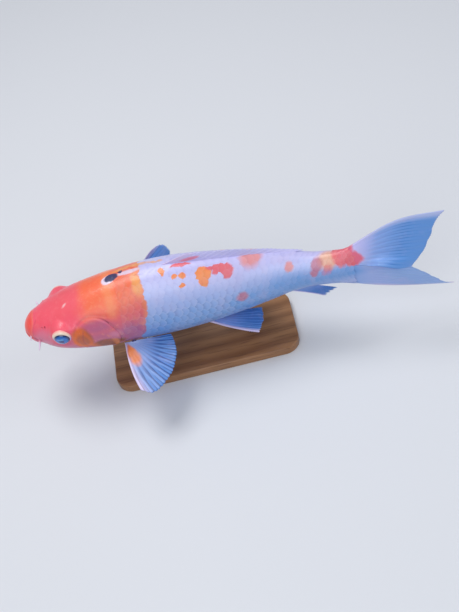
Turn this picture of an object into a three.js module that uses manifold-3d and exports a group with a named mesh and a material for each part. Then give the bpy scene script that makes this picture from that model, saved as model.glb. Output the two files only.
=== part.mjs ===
// A koi carp at life size, gliding, held over a plain base by two short rods.
// Millimetres, +Z up, origin at the middle of the underside of the base.
//
// The fish is built along a straight axis, with its snout at x = 0, its tail towards +X and
// its left side towards -Y. bendPoint then turns every finished piece into the swimming pose:
// the axis swings, rises and falls, and the sections roll about it, a little at each station.

import * as THREE from "three";
import { mergeVertices } from "three/addons/utils/BufferGeometryUtils.js";
import Module from "manifold-3d";

const wasm = await Module();
wasm.setup();

// Driving dimensions. Lengths that follow the fish are shares of its standard length.
const standardLength = 430; // snout to the root of the tail fin
const axisHeight = 118; // body axis at the snout, above the table
const pivotShare = 0.5; // the share of the standard length that hangs over the origin
const gap = 0.3; // between neighbouring pieces
const finEdge = 0.35; // half the thickness of a fin at its margin
// Added to that at the roots of the fins.
const finRoot = { folded: 1.2, paired: 1.6, leading: 0.5, tail: 4, tailFade: 9, tailWeb: 0.35 };

const base = { length: 252, width: 104, height: 12, corner: 22, bevel: 2 };
const rods = { radius: 3.5, collarRadius: 8, collarHeight: 4, collarRound: 1.2, reach: 0.16 };

// The pose, at five shares of the length: heading and roll in degrees, rise as a share.
const pose = {
  shares: [0, 0.28, 0.6, 1.0, 1.28],
  heading: [-2, 0.4, -3.3, -18.4, 10],
  roll: [0, 1.8, -2.3, 24.8, 6.3],
  rise: [0, -0.008, -0.012, 0.007, 0.017],
};

// The body: share of the length, half width, height above the axis, depth below it, and the
// power of the upper outline (2 is an ellipse, less is a narrower back).
const bodyStations = [
  [0.0, 0.044, 0.03, 0.036, 2.0],
  [0.015, 0.0475, 0.035, 0.041, 2.0],
  [0.04, 0.057, 0.045, 0.05, 2.0],
  [0.07, 0.075, 0.058, 0.064, 2.0],
  [0.1, 0.089, 0.07, 0.076, 2.0],
  [0.15, 0.0985, 0.088, 0.091, 1.95],
  [0.2, 0.1035, 0.103, 0.1, 1.9],
  [0.3, 0.107, 0.124, 0.111, 1.8],
  [0.38, 0.107, 0.134, 0.119, 1.75],
  [0.46, 0.104, 0.136, 0.123, 1.7],
  [0.55, 0.0975, 0.127, 0.12, 1.7],
  [0.65, 0.084, 0.11, 0.107, 1.75],
  [0.75, 0.067, 0.085, 0.083, 1.8],
  [0.82, 0.053, 0.067, 0.0625, 1.85],
  [0.9, 0.039, 0.054, 0.052, 1.9],
  [0.96, 0.029, 0.056, 0.05, 2.0],
  [1.0, 0.014, 0.068, 0.054, 2.0],
];
const noseRound = 0.035; // the length over which the snout closes as an ellipse
const sides = 32;

// Where the body is divided.
const cuts = { head: 0.262, midTrunk: 0.53, tailStem: 0.8 };

const eye = { share: 0.117, rise: 0.017, radius: 10, bulge: 6.4, sunk: 3.2, forward: 0.14, up: -0.06 };

// A smooth curve through knots that never overshoots them.
function smoothCurve(knots, values) {
  const last = knots.length - 1;
  const steps = knots.slice(1).map((knot, i) => knot - knots[i]);
  const chords = steps.map((step, i) => (values[i + 1] - values[i]) / step);
  const slopes = values.map((value, i) => {
    if (i === 0) return chords[0];
    if (i === last) return chords[last - 1];
    const before = chords[i - 1];
    const after = chords[i];
    return before * after > 0 ? (2 * before * after) / (before + after) : 0;
  });
  return (share) => {
    const x = THREE.MathUtils.clamp(share, knots[0], knots[last]);
    let i = 0;
    while (i < last - 1 && x > knots[i + 1]) i += 1;
    const t = (x - knots[i]) / steps[i];
    const blend = t * t * (3 - 2 * t);
    const leaving = steps[i] * slopes[i] * t * (1 - t) * (1 - t);
    const arriving = steps[i] * slopes[i + 1] * t * t * (t - 1);
    return values[i] * (1 - blend) + values[i + 1] * blend + leaving + arriving;
  };
}

const stationShares = bodyStations.map((row) => row[0]);
const column = (index) => smoothCurve(stationShares, bodyStations.map((row) => row[index]));
const halfWidth = column(1);
const topHeight = column(2);
const bottomDepth = column(3);
const crestPower = column(4);

function noseShare(share) {
  if (share >= noseRound) return 1;
  return Math.sqrt(Math.max(0, 1 - (1 - share / noseRound) ** 2));
}

// The body's half width, top and bottom in millimetres.
function bodySize(share, grow = 0) {
  const scale = standardLength * noseShare(share);
  return {
    side: halfWidth(share) * scale + grow,
    top: topHeight(share) * scale + grow,
    bottom: bottomDepth(share) * scale + grow,
  };
}

// A point on the straight body. The angle runs from the back, over the right side, to the belly.
function skinPoint(share, angle, grow = 0) {
  const size = bodySize(share, grow);
  const cosine = Math.cos(angle);
  const power = cosine > 0 ? crestPower(share) : 2;
  const out = Math.sqrt(Math.max(0, 1 - Math.abs(cosine) ** power));
  const y = size.side * Math.sign(Math.sin(angle)) * out;
  const z = (cosine > 0 ? size.top : size.bottom) * cosine;
  return new THREE.Vector3(share * standardLength, y, z);
}

// The axis in the pose, integrated from the heading.
const heading = smoothCurve(pose.shares, pose.heading.map(THREE.MathUtils.degToRad));
const roll = smoothCurve(pose.shares, pose.roll.map(THREE.MathUtils.degToRad));
const rise = smoothCurve(pose.shares, pose.rise);
const axisStep = 0.004;
const axisPoints = [new THREE.Vector2(0, 0)];
for (let share = 0; share < 1.4; share += axisStep) {
  const turn = heading(share + axisStep / 2);
  const before = axisPoints[axisPoints.length - 1];
  const step = new THREE.Vector2(Math.cos(turn), Math.sin(turn)).multiplyScalar(axisStep);
  axisPoints.push(before.clone().add(step));
}

function axisAt(share) {
  const place = Math.max(0, share) / axisStep;
  const i = Math.min(Math.floor(place), axisPoints.length - 2);
  const point = axisPoints[i].clone().lerp(axisPoints[i + 1], place - i);
  if (share < 0) point.x += share;
  return point;
}

const pivot = axisAt(pivotShare);

function bendPoint(point) {
  const share = point.x / standardLength;
  const centre = axisAt(share).sub(pivot).multiplyScalar(standardLength);
  const turn = heading(share);
  const lean = roll(share);
  const across = point.y * Math.cos(lean) + point.z * Math.sin(lean);
  const upward = -point.y * Math.sin(lean) + point.z * Math.cos(lean);
  return new THREE.Vector3(
    centre.x - across * Math.sin(turn),
    centre.y + across * Math.cos(turn),
    upward + rise(share) * standardLength + axisHeight,
  );
}

// Turns a list of points and triangles into a solid, with its faces outwards.
function solidFrom(points, triangles) {
  let volume = 0;
  for (const [a, b, c] of triangles) {
    volume += points[a].dot(points[b].clone().cross(points[c]));
  }
  const outward = volume > 0 ? triangles : triangles.map(([a, b, c]) => [a, c, b]);
  const vertProperties = new Float32Array(points.flatMap((point) => point.toArray()));
  const triVerts = new Uint32Array(outward.flat());
  return new wasm.Manifold(new wasm.Mesh({ numProp: 3, vertProperties, triVerts }));
}

function solidOf(geometry) {
  const bare = geometry.clone();
  bare.deleteAttribute("normal");
  bare.deleteAttribute("uv");
  const merged = mergeVertices(bare, 1e-3);
  const vertProperties = new Float32Array(merged.attributes.position.array);
  const triVerts = new Uint32Array(merged.index.array);
  return new wasm.Manifold(new wasm.Mesh({ numProp: 3, vertProperties, triVerts }));
}

function geometryOf(solid, bent) {
  const mesh = solid.getMesh();
  const positions = new Float32Array(mesh.vertProperties.length);
  const point = new THREE.Vector3();
  for (let i = 0; i < positions.length; i += 3) {
    point.fromArray(mesh.vertProperties, i);
    (bent ? bendPoint(point) : point).toArray(positions, i);
  }
  const geometry = new THREE.BufferGeometry();
  geometry.setAttribute("position", new THREE.BufferAttribute(positions, 3));
  geometry.setIndex(new THREE.BufferAttribute(mesh.triVerts, 1));
  geometry.computeVertexNormals();
  return geometry;
}

// A solid lofted through rings of equally many points, closed by a fan at each end.
function loftRings(rings, startCentre, endCentre) {
  const count = rings[0].length;
  const points = [startCentre, ...rings.flat(), endCentre];
  const at = (ring, i) => 1 + ring * count + (i % count);
  const triangles = [];
  for (let i = 0; i < count; i += 1) {
    triangles.push([0, at(0, i), at(0, i + 1)]);
    for (let ring = 0; ring < rings.length - 1; ring += 1) {
      triangles.push([at(ring, i), at(ring + 1, i), at(ring + 1, i + 1)]);
      triangles.push([at(ring, i), at(ring + 1, i + 1), at(ring, i + 1)]);
    }
    triangles.push([points.length - 1, at(rings.length - 1, i + 1), at(rings.length - 1, i)]);
  }
  return solidFrom(points, triangles);
}

// The body between two shares of its length. Stations lie closer together at the snout.
function bodyLoft(from, to, ringCount, grow = 0) {
  const rings = [];
  for (let i = 0; i <= ringCount; i += 1) {
    const t = i / ringCount;
    const spread = from === 0 ? t ** 1.7 : t;
    const share = from + (to - from) * spread;
    if (from === 0 && i === 0 && grow <= 0) continue;
    const ring = [];
    for (let k = 0; k < sides; k += 1) ring.push(skinPoint(share, (k / sides) * 2 * Math.PI, grow));
    rings.push(ring);
  }
  const start = new THREE.Vector3(from * standardLength - (from === 0 ? Math.max(grow, 0) : 0), 0, 0);
  const end = new THREE.Vector3(to * standardLength, 0, 0);
  return loftRings(rings, start, end);
}

// A prism across the body from an outline of (share, height) pairs, widened by a margin.
function sidePrism(outline, yFrom, yTo, margin, rounded) {
  const points = outline.map(([share, z]) => new THREE.Vector2(share, z).multiplyScalar(standardLength));
  const middle = points.reduce((sum, p) => sum.add(p), new THREE.Vector2()).divideScalar(points.length);
  for (const point of points) {
    const reach = point.clone().sub(middle);
    point.add(reach.setLength(margin));
  }
  const shape = new THREE.Shape();
  if (rounded) {
    const loop = [...points, points[0]].map((p) => new THREE.Vector3(p.x, p.y, 0));
    const curve = new THREE.CatmullRomCurve3(loop.slice(0, -1), true);
    shape.setFromPoints(curve.getPoints(22).map((p) => new THREE.Vector2(p.x, p.y)));
  } else {
    shape.setFromPoints(points);
  }
  const prism = new THREE.ExtrudeGeometry(shape, { depth: yTo - yFrom, bevelEnabled: false });
  prism.rotateX(Math.PI / 2);
  prism.translate(0, yTo, 0);
  return solidOf(prism);
}

// A thin closed sheet over the unit square, with a half thickness at each place.
function sheetSolid(middleAt, halfThickness, columns, rows) {
  const nudge = 1e-3;
  const upper = [];
  const lower = [];
  for (let row = 0; row <= rows; row += 1) {
    for (let col = 0; col <= columns; col += 1) {
      const s = col / columns;
      const t = row / rows;
      const here = middleAt(s, t);
      const s0 = Math.max(0, s - nudge);
      const s1 = Math.min(1, s + nudge);
      const t0 = Math.max(0, t - nudge);
      const t1 = Math.min(1, t + nudge);
      const alongBase = middleAt(s1, t).sub(middleAt(s0, t));
      const alongRay = middleAt(s, t1).sub(middleAt(s, t0));
      const normal = alongBase.cross(alongRay).normalize().multiplyScalar(halfThickness(s, t));
      upper.push(here.clone().add(normal));
      lower.push(here.clone().sub(normal));
    }
  }
  const width = columns + 1;
  const offset = upper.length;
  const triangles = [];
  const quad = (a, b, c, d) => triangles.push([a, b, c], [a, c, d]);
  for (let row = 0; row < rows; row += 1) {
    for (let col = 0; col < columns; col += 1) {
      const i = row * width + col;
      quad(i, i + 1, i + 1 + width, i + width);
      quad(i + offset, i + width + offset, i + 1 + width + offset, i + 1 + offset);
    }
  }
  for (let col = 0; col < columns; col += 1) {
    const end = rows * width + col;
    quad(col + 1, col, col + offset, col + 1 + offset);
    quad(end, end + 1, end + 1 + offset, end + offset);
  }
  for (let row = 0; row < rows; row += 1) {
    const left = row * width;
    const right = left + columns;
    quad(left, left + width, left + width + offset, left + offset);
    quad(right + width, right, right + offset, right + width + offset);
  }
  return solidFrom([...upper, ...lower], triangles);
}

const mirrored = (solid) => {
  const mesh = solid.getMesh();
  const points = [];
  for (let i = 0; i < mesh.vertProperties.length; i += 3) {
    const [x, y, z] = mesh.vertProperties.subarray(i, i + 3);
    points.push(new THREE.Vector3(x, -y, z));
  }
  const triangles = [];
  for (let i = 0; i < mesh.triVerts.length; i += 3) triangles.push([...mesh.triVerts.subarray(i, i + 3)]);
  return solidFrom(points, triangles);
};

const part = new THREE.Group();

function addNode(name, solid, finish, bent = true) {
  const mesh = new THREE.Mesh(geometryOf(solid, bent), new THREE.MeshStandardMaterial(finish));
  mesh.name = name;
  part.add(mesh);
}

// The finishes.
const redSkin = { color: 0xf0645c, roughness: 0.35, metalness: 0 };
const whiteSkin = { color: 0xe6dcec, roughness: 0.38, metalness: 0 };
const finSkin = { color: 0xb9c8ee, roughness: 0.42, metalness: 0 };
const eyeGloss = { color: 0x14213c, roughness: 0.08, metalness: 0 };
const wood = { color: 0x5a3d28, roughness: 0.45, metalness: 0 };
const steel = { color: 0xb8babd, roughness: 0.28, metalness: 1 };

// Gill covers: a plate on each cheek whose round rear edge overlaps the shoulder.
const coverOutline = [
  [0.163, -0.03],
  [0.166, 0.035],
  [0.205, 0.062],
  [0.25, 0.05],
  [0.281, 0.0],
  [0.272, -0.05],
  [0.232, -0.086],
  [0.178, -0.086],
];
const coverDepth = 6;
const coverProud = 0.8;
const coverSlab = { inner: -0.03, outer: -0.13 }; // across the left side, in shares of the length

function gillCover(margin) {
  const inside = coverSlab.inner * standardLength + margin;
  const slab = sidePrism(coverOutline, coverSlab.outer * standardLength, inside, margin, true);
  const outer = bodyLoft(0.13, 0.31, 6, margin > 0 ? 4 : coverProud);
  const inner = bodyLoft(0.12, 0.32, 6, -coverDepth - margin);
  return slab.intersect(outer).subtract(inner);
}

const leftCover = gillCover(0);
const leftPocket = gillCover(gap * 1.7);

// Lower jaw, below a nearly level mouth line that starts just under the tip of the snout.
const jawOutline = [
  [-0.03, -0.012],
  [0.03, -0.0135],
  [0.052, -0.023],
  [0.075, -0.045],
  [0.118, -0.11],
  [-0.03, -0.11],
];
const jawReach = 80; // half the width of the slab that parts the jaw
const headEnd = cuts.head - gap / 2 / standardLength;
const wholeHead = bodyLoft(0, headEnd, 13);
const jawSlab = sidePrism(jawOutline, -jawReach, jawReach, 0, false);
const jawRoom = sidePrism(jawOutline, -jawReach, jawReach, gap * 1.5, false);

// Eyes: flattened balls that look sideways, a little forward and a little up.
function eyeBall(grow) {
  const ball = new THREE.SphereGeometry(1, 16, 9);
  const normal = new THREE.Vector3(-eye.forward, -1, eye.up).normalize();
  const surfaceAngle = -Math.acos((eye.rise * standardLength) / bodySize(eye.share).top);
  const middle = skinPoint(eye.share, surfaceAngle).addScaledVector(normal, -eye.sunk);
  const turn = new THREE.Quaternion().setFromUnitVectors(new THREE.Vector3(0, 1, 0), normal);
  ball.scale(eye.radius + grow, eye.bulge + grow, eye.radius + grow);
  ball.applyQuaternion(turn);
  ball.translate(middle.x, middle.y, middle.z);
  return solidOf(ball);
}

const leftEye = eyeBall(0);
const leftSocket = eyeBall(gap);
const sockets = leftSocket.add(mirrored(leftSocket));
const pockets = leftPocket.add(mirrored(leftPocket));

addNode("head", wholeHead.subtract(jawRoom).subtract(sockets).subtract(pockets), redSkin);
addNode("lower_jaw", wholeHead.intersect(jawSlab), redSkin);
addNode("gill_cover_left", leftCover, redSkin);
addNode("gill_cover_right", mirrored(leftCover), redSkin);
addNode("eye_left", leftEye, eyeGloss);
addNode("eye_right", mirrored(leftEye), eyeGloss);

const halfCut = gap / 2 / standardLength;
const trunkFront = bodyLoft(cuts.head + halfCut, cuts.midTrunk - halfCut, 8);
addNode("trunk_front", trunkFront.subtract(pockets), whiteSkin);
addNode("trunk_rear", bodyLoft(cuts.midTrunk + halfCut, cuts.tailStem - halfCut, 9), whiteSkin);
addNode("tail_stem", bodyLoft(cuts.tailStem + halfCut, 1 - halfCut, 7), whiteSkin);

// Everything that grows from the body stops a gap short of it.
const bodyRoom = bodyLoft(0, 1, 40, gap);

// Barbels: a short pair on the upper lip and a longer pair at the corners of the mouth.
function barbel(share, angleDegrees, reach, radius) {
  const root = skinPoint(share, THREE.MathUtils.degToRad(-angleDegrees), -2);
  const [back, out, down] = reach;
  const tip = root.clone().add(new THREE.Vector3(back, -out, -down));
  const knee = root.clone().lerp(tip, 0.5).add(new THREE.Vector3(-back * 0.25, -out * 0.2, down * 0.15));
  const path = new THREE.QuadraticBezierCurve3(root, knee, tip);
  const along = 7;
  const around = 8;
  const rings = [];
  const frames = path.computeFrenetFrames(along);
  for (let i = 0; i <= along; i += 1) {
    const centre = path.getPoint(i / along);
    const size = radius * (1 - 0.55 * (i / along));
    const ring = [];
    for (let k = 0; k < around; k += 1) {
      const angle = (k / around) * 2 * Math.PI;
      const spoke = frames.normals[i].clone().multiplyScalar(Math.cos(angle) * size);
      spoke.addScaledVector(frames.binormals[i], Math.sin(angle) * size);
      ring.push(centre.clone().add(spoke));
    }
    rings.push(ring);
  }
  const end = tip.clone().addScaledVector(frames.tangents[along], radius * 0.4);
  return loftRings(rings, root, end).subtract(bodyRoom);
}

const frontBarbels = barbel(0.02, 84, [-2, 6, 4], 1.1);
addNode("barbel_left_front", frontBarbels, redSkin);
addNode("barbel_right_front", mirrored(frontBarbels), redSkin);
addNode("barbel_left_rear", barbel(0.042, 100, [-3, 13, 6], 1.5), redSkin);
addNode("barbel_right_rear", mirrored(barbel(0.044, 96, [-4, 15, -5], 1.5)), redSkin);

// Dorsal fin, folded back along the ridge and leaning a little to the right.
const dorsal = { from: 0.44, to: 0.805, sweepFront: 0.09, sweepRear: 0.055, lean: 0.008 };
const dorsalHeight = smoothCurve([0, 0.3, 0.65, 1], [0.024, 0.021, 0.011, 0.005]);

function dorsalPoint(s, t) {
  const root = dorsal.from + (dorsal.to - dorsal.from) * s;
  const sweep = THREE.MathUtils.lerp(dorsal.sweepFront, dorsal.sweepRear, s);
  const share = root + sweep * t;
  const height = topHeight(share) - 0.006 * (1 - t) + dorsalHeight(s) * t;
  return new THREE.Vector3(share, dorsal.lean * t * t, height).multiplyScalar(standardLength);
}
const dorsalSolid = sheetSolid(dorsalPoint, (s, t) => finEdge + finRoot.folded * (1 - t) ** 2, 16, 4);
addNode("dorsal_fin", dorsalSolid.subtract(bodyRoom), finSkin);

// Anal fin, folded back under the tail stem.
const anal = { from: 0.78, to: 0.85, sweepFront: 0.13, sweepRear: 0.1, drop: 0.038, dropRear: 0.012 };

function analPoint(s, t) {
  const root = anal.from + (anal.to - anal.from) * s;
  const share = root + THREE.MathUtils.lerp(anal.sweepFront, anal.sweepRear, s) * t;
  const drop = THREE.MathUtils.lerp(anal.drop, anal.dropRear, s) * t ** 0.8;
  const height = -bottomDepth(share) + 0.006 * (1 - t) - drop;
  return new THREE.Vector3(share, -0.006 * t, height).multiplyScalar(standardLength);
}
const analSolid = sheetSolid(analPoint, (s, t) => finEdge + finRoot.folded * (1 - t) ** 2, 8, 5);
addNode("anal_fin", analSolid.subtract(bodyRoom), finSkin);

// Tail fin: an upper and a lower lobe that part at the fork. t runs out along the rays.
const tailRoot = { share: 1 + halfCut * 2, split: 0.01, top: 0.0675, bottom: -0.0535 };
const lobeSteps = [0, 0.15, 0.45, 0.75, 1];
const lobes = [
  {
    name: "caudal_fin_upper",
    rootEdge: tailRoot.top,
    tipShare: smoothCurve(lobeSteps, [1.277, 1.25, 1.23, 1.203, 1.165]),
    tipHeight: smoothCurve(lobeSteps, [0.148, 0.121, 0.073, 0.025, -0.016]),
    bow: 0.036,
    away: 0,
  },
  {
    name: "caudal_fin_lower",
    rootEdge: tailRoot.bottom,
    tipShare: smoothCurve(lobeSteps, [1.287, 1.262, 1.232, 1.2, 1.165]),
    tipHeight: smoothCurve(lobeSteps, [-0.136, -0.12, -0.085, -0.049, -0.0175]),
    bow: -0.002,
    away: 0.03,
  },
];
for (const lobe of lobes) {
  const lobePoint = (s, t) => {
    const side = Math.sign(lobe.rootEdge);
    const rootZ = THREE.MathUtils.lerp(lobe.rootEdge, tailRoot.split + side * halfCut, s);
    const share = THREE.MathUtils.lerp(tailRoot.share, lobe.tipShare(s), t);
    const swell = Math.sin(Math.PI * t) * (1 - s);
    const height = THREE.MathUtils.lerp(rootZ, lobe.tipHeight(s), t) + lobe.bow * swell;
    return new THREE.Vector3(share, lobe.away * swell, height).multiplyScalar(standardLength);
  };
  const thick = (s, t) => {
    const stem = finRoot.tail * Math.exp(-t * finRoot.tailFade);
    return finEdge + stem + finRoot.tailWeb * (1 - t);
  };
  addNode(lobe.name, sheetSolid(lobePoint, thick, 10, 7).subtract(bodyRoom), finSkin);
}

// Paired fins: a fan of rays from a short root on the flank. Each ray bows towards the front.
function pairedFin(fin, columns, rows) {
  const rootStart = new THREE.Vector3(...fin.rootFront).multiplyScalar(standardLength);
  const rootEnd = new THREE.Vector3(...fin.rootRear).multiplyScalar(standardLength);
  const lead = new THREE.Vector3(...fin.leadRay).normalize();
  const trail = new THREE.Vector3(...fin.trailRay).normalize();
  const axis = lead.clone().cross(trail).normalize();
  const spread = lead.angleTo(trail);
  const point = (s, t) => {
    const ray = lead.clone().applyAxisAngle(axis, spread * s);
    const forward = ray.clone().cross(axis);
    const length = fin.rayLength(s) * standardLength;
    const lift = standardLength * t * t * (fin.cup * Math.sin(Math.PI * s) + fin.curl);
    const root = rootStart.clone().lerp(rootEnd, s);
    const bowed = root.addScaledVector(ray, length * t);
    bowed.addScaledVector(forward, fin.bow * length * 4 * t * (1 - t) * (1 - s));
    return bowed.addScaledVector(axis, lift);
  };
  const thick = (s, t) => {
    const leadingRay = finRoot.leading * Math.max(0, 1 - s * 8) * (1 - t * 0.6);
    return finEdge + finRoot.paired * (1 - t) ** 2 + leadingRay;
  };
  return sheetSolid(point, thick, columns, rows).subtract(bodyRoom);
}

const pectoral = {
  rootFront: [0.282, -0.087, -0.07],
  rootRear: [0.31, -0.092, -0.062],
  leadRay: [0.13, -1.05, -0.29],
  trailRay: [0.93, 0.05, -0.17],
  rayLength: smoothCurve([0, 0.12, 0.45, 1], [0.164, 0.188, 0.163, 0.112]),
  bow: 0.05,
  cup: 0.008,
  curl: 0.007,
};
const raisedPectoral = {
  ...pectoral,
  leadRay: [0.69, -1, 0.05],
  trailRay: [0.77, -0.28, -0.26],
  bow: 0.035,
  cup: 0.05,
  curl: 0.075,
};
const pelvic = {
  rootFront: [0.54, -0.052, -0.1],
  rootRear: [0.583, -0.028, -0.11],
  leadRay: [0.95, -0.38, -0.16],
  trailRay: [1, 0.03, -0.03],
  rayLength: smoothCurve([0, 0.3, 1], [0.165, 0.16, 0.125]),
  bow: 0.04,
  cup: 0.006,
  curl: 0.004,
};
const leftPelvic = pairedFin(pelvic, 8, 5);
addNode("pectoral_fin_left", pairedFin(pectoral, 12, 6), finSkin);
addNode("pectoral_fin_right", mirrored(pairedFin(raisedPectoral, 12, 6)), finSkin);
addNode("pelvic_fin_left", leftPelvic, finSkin);
addNode("pelvic_fin_right", mirrored(leftPelvic), finSkin);

// The stand: a flat base with round corners, and two rods that end under the belly.
const plate = new THREE.Shape();
const halfLength = base.length / 2 - base.bevel;
const halfBreadth = base.width / 2 - base.bevel;
const corner = base.corner - base.bevel;
plate.absarc(halfLength - corner, halfBreadth - corner, corner, 0, Math.PI / 2);
plate.absarc(corner - halfLength, halfBreadth - corner, corner, Math.PI / 2, Math.PI);
plate.absarc(corner - halfLength, corner - halfBreadth, corner, Math.PI, 1.5 * Math.PI);
plate.absarc(halfLength - corner, corner - halfBreadth, corner, 1.5 * Math.PI, 2 * Math.PI);
const plateGeometry = new THREE.ExtrudeGeometry(plate, {
  depth: base.height - 2 * base.bevel,
  bevelThickness: base.bevel,
  bevelSize: base.bevel,
  bevelSegments: 2,
  curveSegments: 5,
});
plateGeometry.translate(0, 0, base.bevel);
addNode("stand_base", solidOf(plateGeometry), wood, false);

function bentBodyRoom() {
  const mesh = bodyRoom.getMesh();
  const points = [];
  for (let i = 0; i < mesh.vertProperties.length; i += 3) {
    points.push(bendPoint(new THREE.Vector3().fromArray(mesh.vertProperties, i)));
  }
  const triangles = [];
  for (let i = 0; i < mesh.triVerts.length; i += 3) triangles.push([...mesh.triVerts.subarray(i, i + 3)]);
  return solidFrom(points, triangles);
}

const bellyRoom = bentBodyRoom();
const rodFoot = base.height + gap;
for (const [name, side] of [["stand_rod_front", -1], ["stand_rod_rear", 1]]) {
  const share = pivotShare + side * rods.reach;
  const foot = bendPoint(new THREE.Vector3(share * standardLength, 0, 0));
  const profile = [
    [0, 0],
    [rods.collarRadius, 0],
    [rods.collarRadius, rods.collarHeight - rods.collarRound],
    [rods.collarRadius - rods.collarRound, rods.collarHeight],
    [rods.radius, rods.collarHeight],
    [rods.radius, axisHeight - rodFoot],
    [0, axisHeight - rodFoot],
  ].map(([radius, height]) => new THREE.Vector2(radius, height));
  const rod = new THREE.LatheGeometry(profile, 16);
  rod.rotateX(Math.PI / 2);
  rod.translate(foot.x, foot.y, rodFoot);
  addNode(name, solidOf(rod).subtract(bellyRoom), steel, false);
}

export default part;
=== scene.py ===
import math
import bmesh
import bpy
import numpy as np
from mathutils import Matrix, Vector


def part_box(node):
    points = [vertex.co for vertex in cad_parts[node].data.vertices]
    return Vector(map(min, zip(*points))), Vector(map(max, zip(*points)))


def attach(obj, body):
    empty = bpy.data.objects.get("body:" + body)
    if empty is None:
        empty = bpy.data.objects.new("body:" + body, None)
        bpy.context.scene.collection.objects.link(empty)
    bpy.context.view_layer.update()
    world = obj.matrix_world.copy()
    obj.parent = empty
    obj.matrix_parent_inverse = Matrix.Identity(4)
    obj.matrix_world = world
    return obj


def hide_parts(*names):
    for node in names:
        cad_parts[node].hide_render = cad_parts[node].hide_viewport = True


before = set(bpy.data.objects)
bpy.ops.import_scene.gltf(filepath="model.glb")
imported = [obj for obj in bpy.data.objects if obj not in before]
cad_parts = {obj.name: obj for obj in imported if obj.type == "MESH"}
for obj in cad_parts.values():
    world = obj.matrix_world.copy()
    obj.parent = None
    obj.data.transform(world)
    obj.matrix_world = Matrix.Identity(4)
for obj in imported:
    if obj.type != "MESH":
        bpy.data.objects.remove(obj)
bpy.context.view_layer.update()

# A koi carp at life size on a display stand. Every piece is shaped along a straight fish, with its
# snout at x = 0 and its left side towards -Y, and then bent into the swimming pose.

koi = {
    "length": 0.43,  # snout to the root of the tail
    "axisHeight": 0.118,  # of the body's axis over the floor, at the snout
    "pivotShare": 0.5,  # the share of the length that hangs over the origin
    "noseRound": 0.035,  # share over which the snout closes
    "axisStep": 0.004,
}
pose = {  # degrees and shares of the length, at five shares of the length
    "shares": [0, 0.28, 0.6, 1.0, 1.28],
    "heading": [-2, 0.4, -3.3, -18.4, 10],
    "roll": [0, 1.8, -2.3, 24.8, 6.3],
    "rise": [0, -0.008, -0.012, 0.007, 0.017],
}
bodyStations = [  # share, half width, height of the back, depth of the belly, power of the back's curve
    [0.0, 0.044, 0.03, 0.036, 2.0],
    [0.015, 0.0475, 0.035, 0.041, 2.0],
    [0.04, 0.057, 0.045, 0.05, 2.0],
    [0.07, 0.075, 0.058, 0.064, 2.0],
    [0.1, 0.089, 0.07, 0.076, 2.0],
    [0.15, 0.0985, 0.088, 0.091, 1.95],
    [0.2, 0.1035, 0.103, 0.1, 1.9],
    [0.3, 0.107, 0.124, 0.111, 1.8],
    [0.38, 0.107, 0.134, 0.119, 1.75],
    [0.46, 0.104, 0.136, 0.123, 1.7],
    [0.55, 0.0975, 0.127, 0.12, 1.7],
    [0.65, 0.084, 0.11, 0.107, 1.75],
    [0.75, 0.067, 0.085, 0.083, 1.8],
    [0.82, 0.053, 0.067, 0.0625, 1.85],
    [0.9, 0.039, 0.054, 0.052, 1.9],
    [0.96, 0.029, 0.056, 0.05, 2.0],
    [1.0, 0.014, 0.068, 0.054, 2.0],
]


def smoothCurve(knots, values):  # a curve through the knots that never overshoots them
    knots, values = np.array(knots, float), np.array(values, float)
    chords = np.diff(values) / np.diff(knots)
    slopes = np.concatenate([chords[:1], np.zeros(len(knots) - 2), chords[-1:]])
    before, after = chords[:-1], chords[1:]
    alike = before * after > 0
    slopes[1:-1][alike] = (2 * before * after)[alike] / (before + after)[alike]

    def curve(place):
        x = np.clip(place, knots[0], knots[-1])
        i = np.clip(np.searchsorted(knots, x, side="right") - 1, 0, len(knots) - 2)
        step = knots[i + 1] - knots[i]
        t = (x - knots[i]) / step
        blend = t * t * (3 - 2 * t)
        bulge = step * (slopes[i] * t * (1 - t) ** 2 + slopes[i + 1] * t * t * (t - 1))
        return values[i] * (1 - blend) + values[i + 1] * blend + bulge

    return curve


def smoothStep(value, low, high):
    t = np.clip((value - low) / (high - low), 0, 1)
    return t * t * (3 - 2 * t)


def hump(distance, width):
    return np.exp(-((distance / width) ** 2))


def joined(*values):  # rows of places from their parts
    return np.stack(np.broadcast_arrays(*values), axis=-1)


def unit(vectors):
    vectors = np.asarray(vectors, float)
    return vectors / np.maximum(np.linalg.norm(vectors, axis=-1, keepdims=True), 1e-12)


stationShares = [row[0] for row in bodyStations]
halfWidth, topHeight, bottomDepth, crestPower = (
    smoothCurve(stationShares, [row[k] for row in bodyStations]) for k in range(1, 5)
)


def noseScale(share, least=0.0):  # the body's size at a share, which closes round the snout
    early = np.clip(1 - share / koi["noseRound"], 0, 1)
    return koi["length"] * np.sqrt(np.maximum(least, 1 - early**2))


def bodyPoints(share, angle):  # the angle runs from the back, over the right side, to the belly
    share, angle = np.broadcast_arrays(np.asarray(share, float), np.asarray(angle, float))
    scale = noseScale(share)
    cosine = np.cos(angle)
    power = np.where(cosine > 0, crestPower(share), 2)
    out = np.sqrt(np.maximum(0, 1 - np.abs(cosine) ** power))
    y = halfWidth(share) * scale * np.sign(np.sin(angle)) * out
    z = np.where(cosine > 0, topHeight(share), bottomDepth(share)) * scale * cosine
    return joined(share * koi["length"], y, z)


def bodyNormals(share, angle):
    step, turn = 4e-4, 0.01
    share = np.maximum(share, step)
    along = bodyPoints(share + step, angle) - bodyPoints(share - step, angle)
    around = bodyPoints(share, angle + turn) - bodyPoints(share, angle - turn)
    return unit(np.cross(along, around))


def sideAngle(x, z):  # the left side's angle at a place seen from the side
    share = np.clip(x / koi["length"], 1e-4, 1)
    reach = np.where(z > 0, topHeight(share), bottomDepth(share)) * noseScale(share, 1e-6)
    return -np.arccos(np.clip(z / reach, -1, 1))


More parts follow.
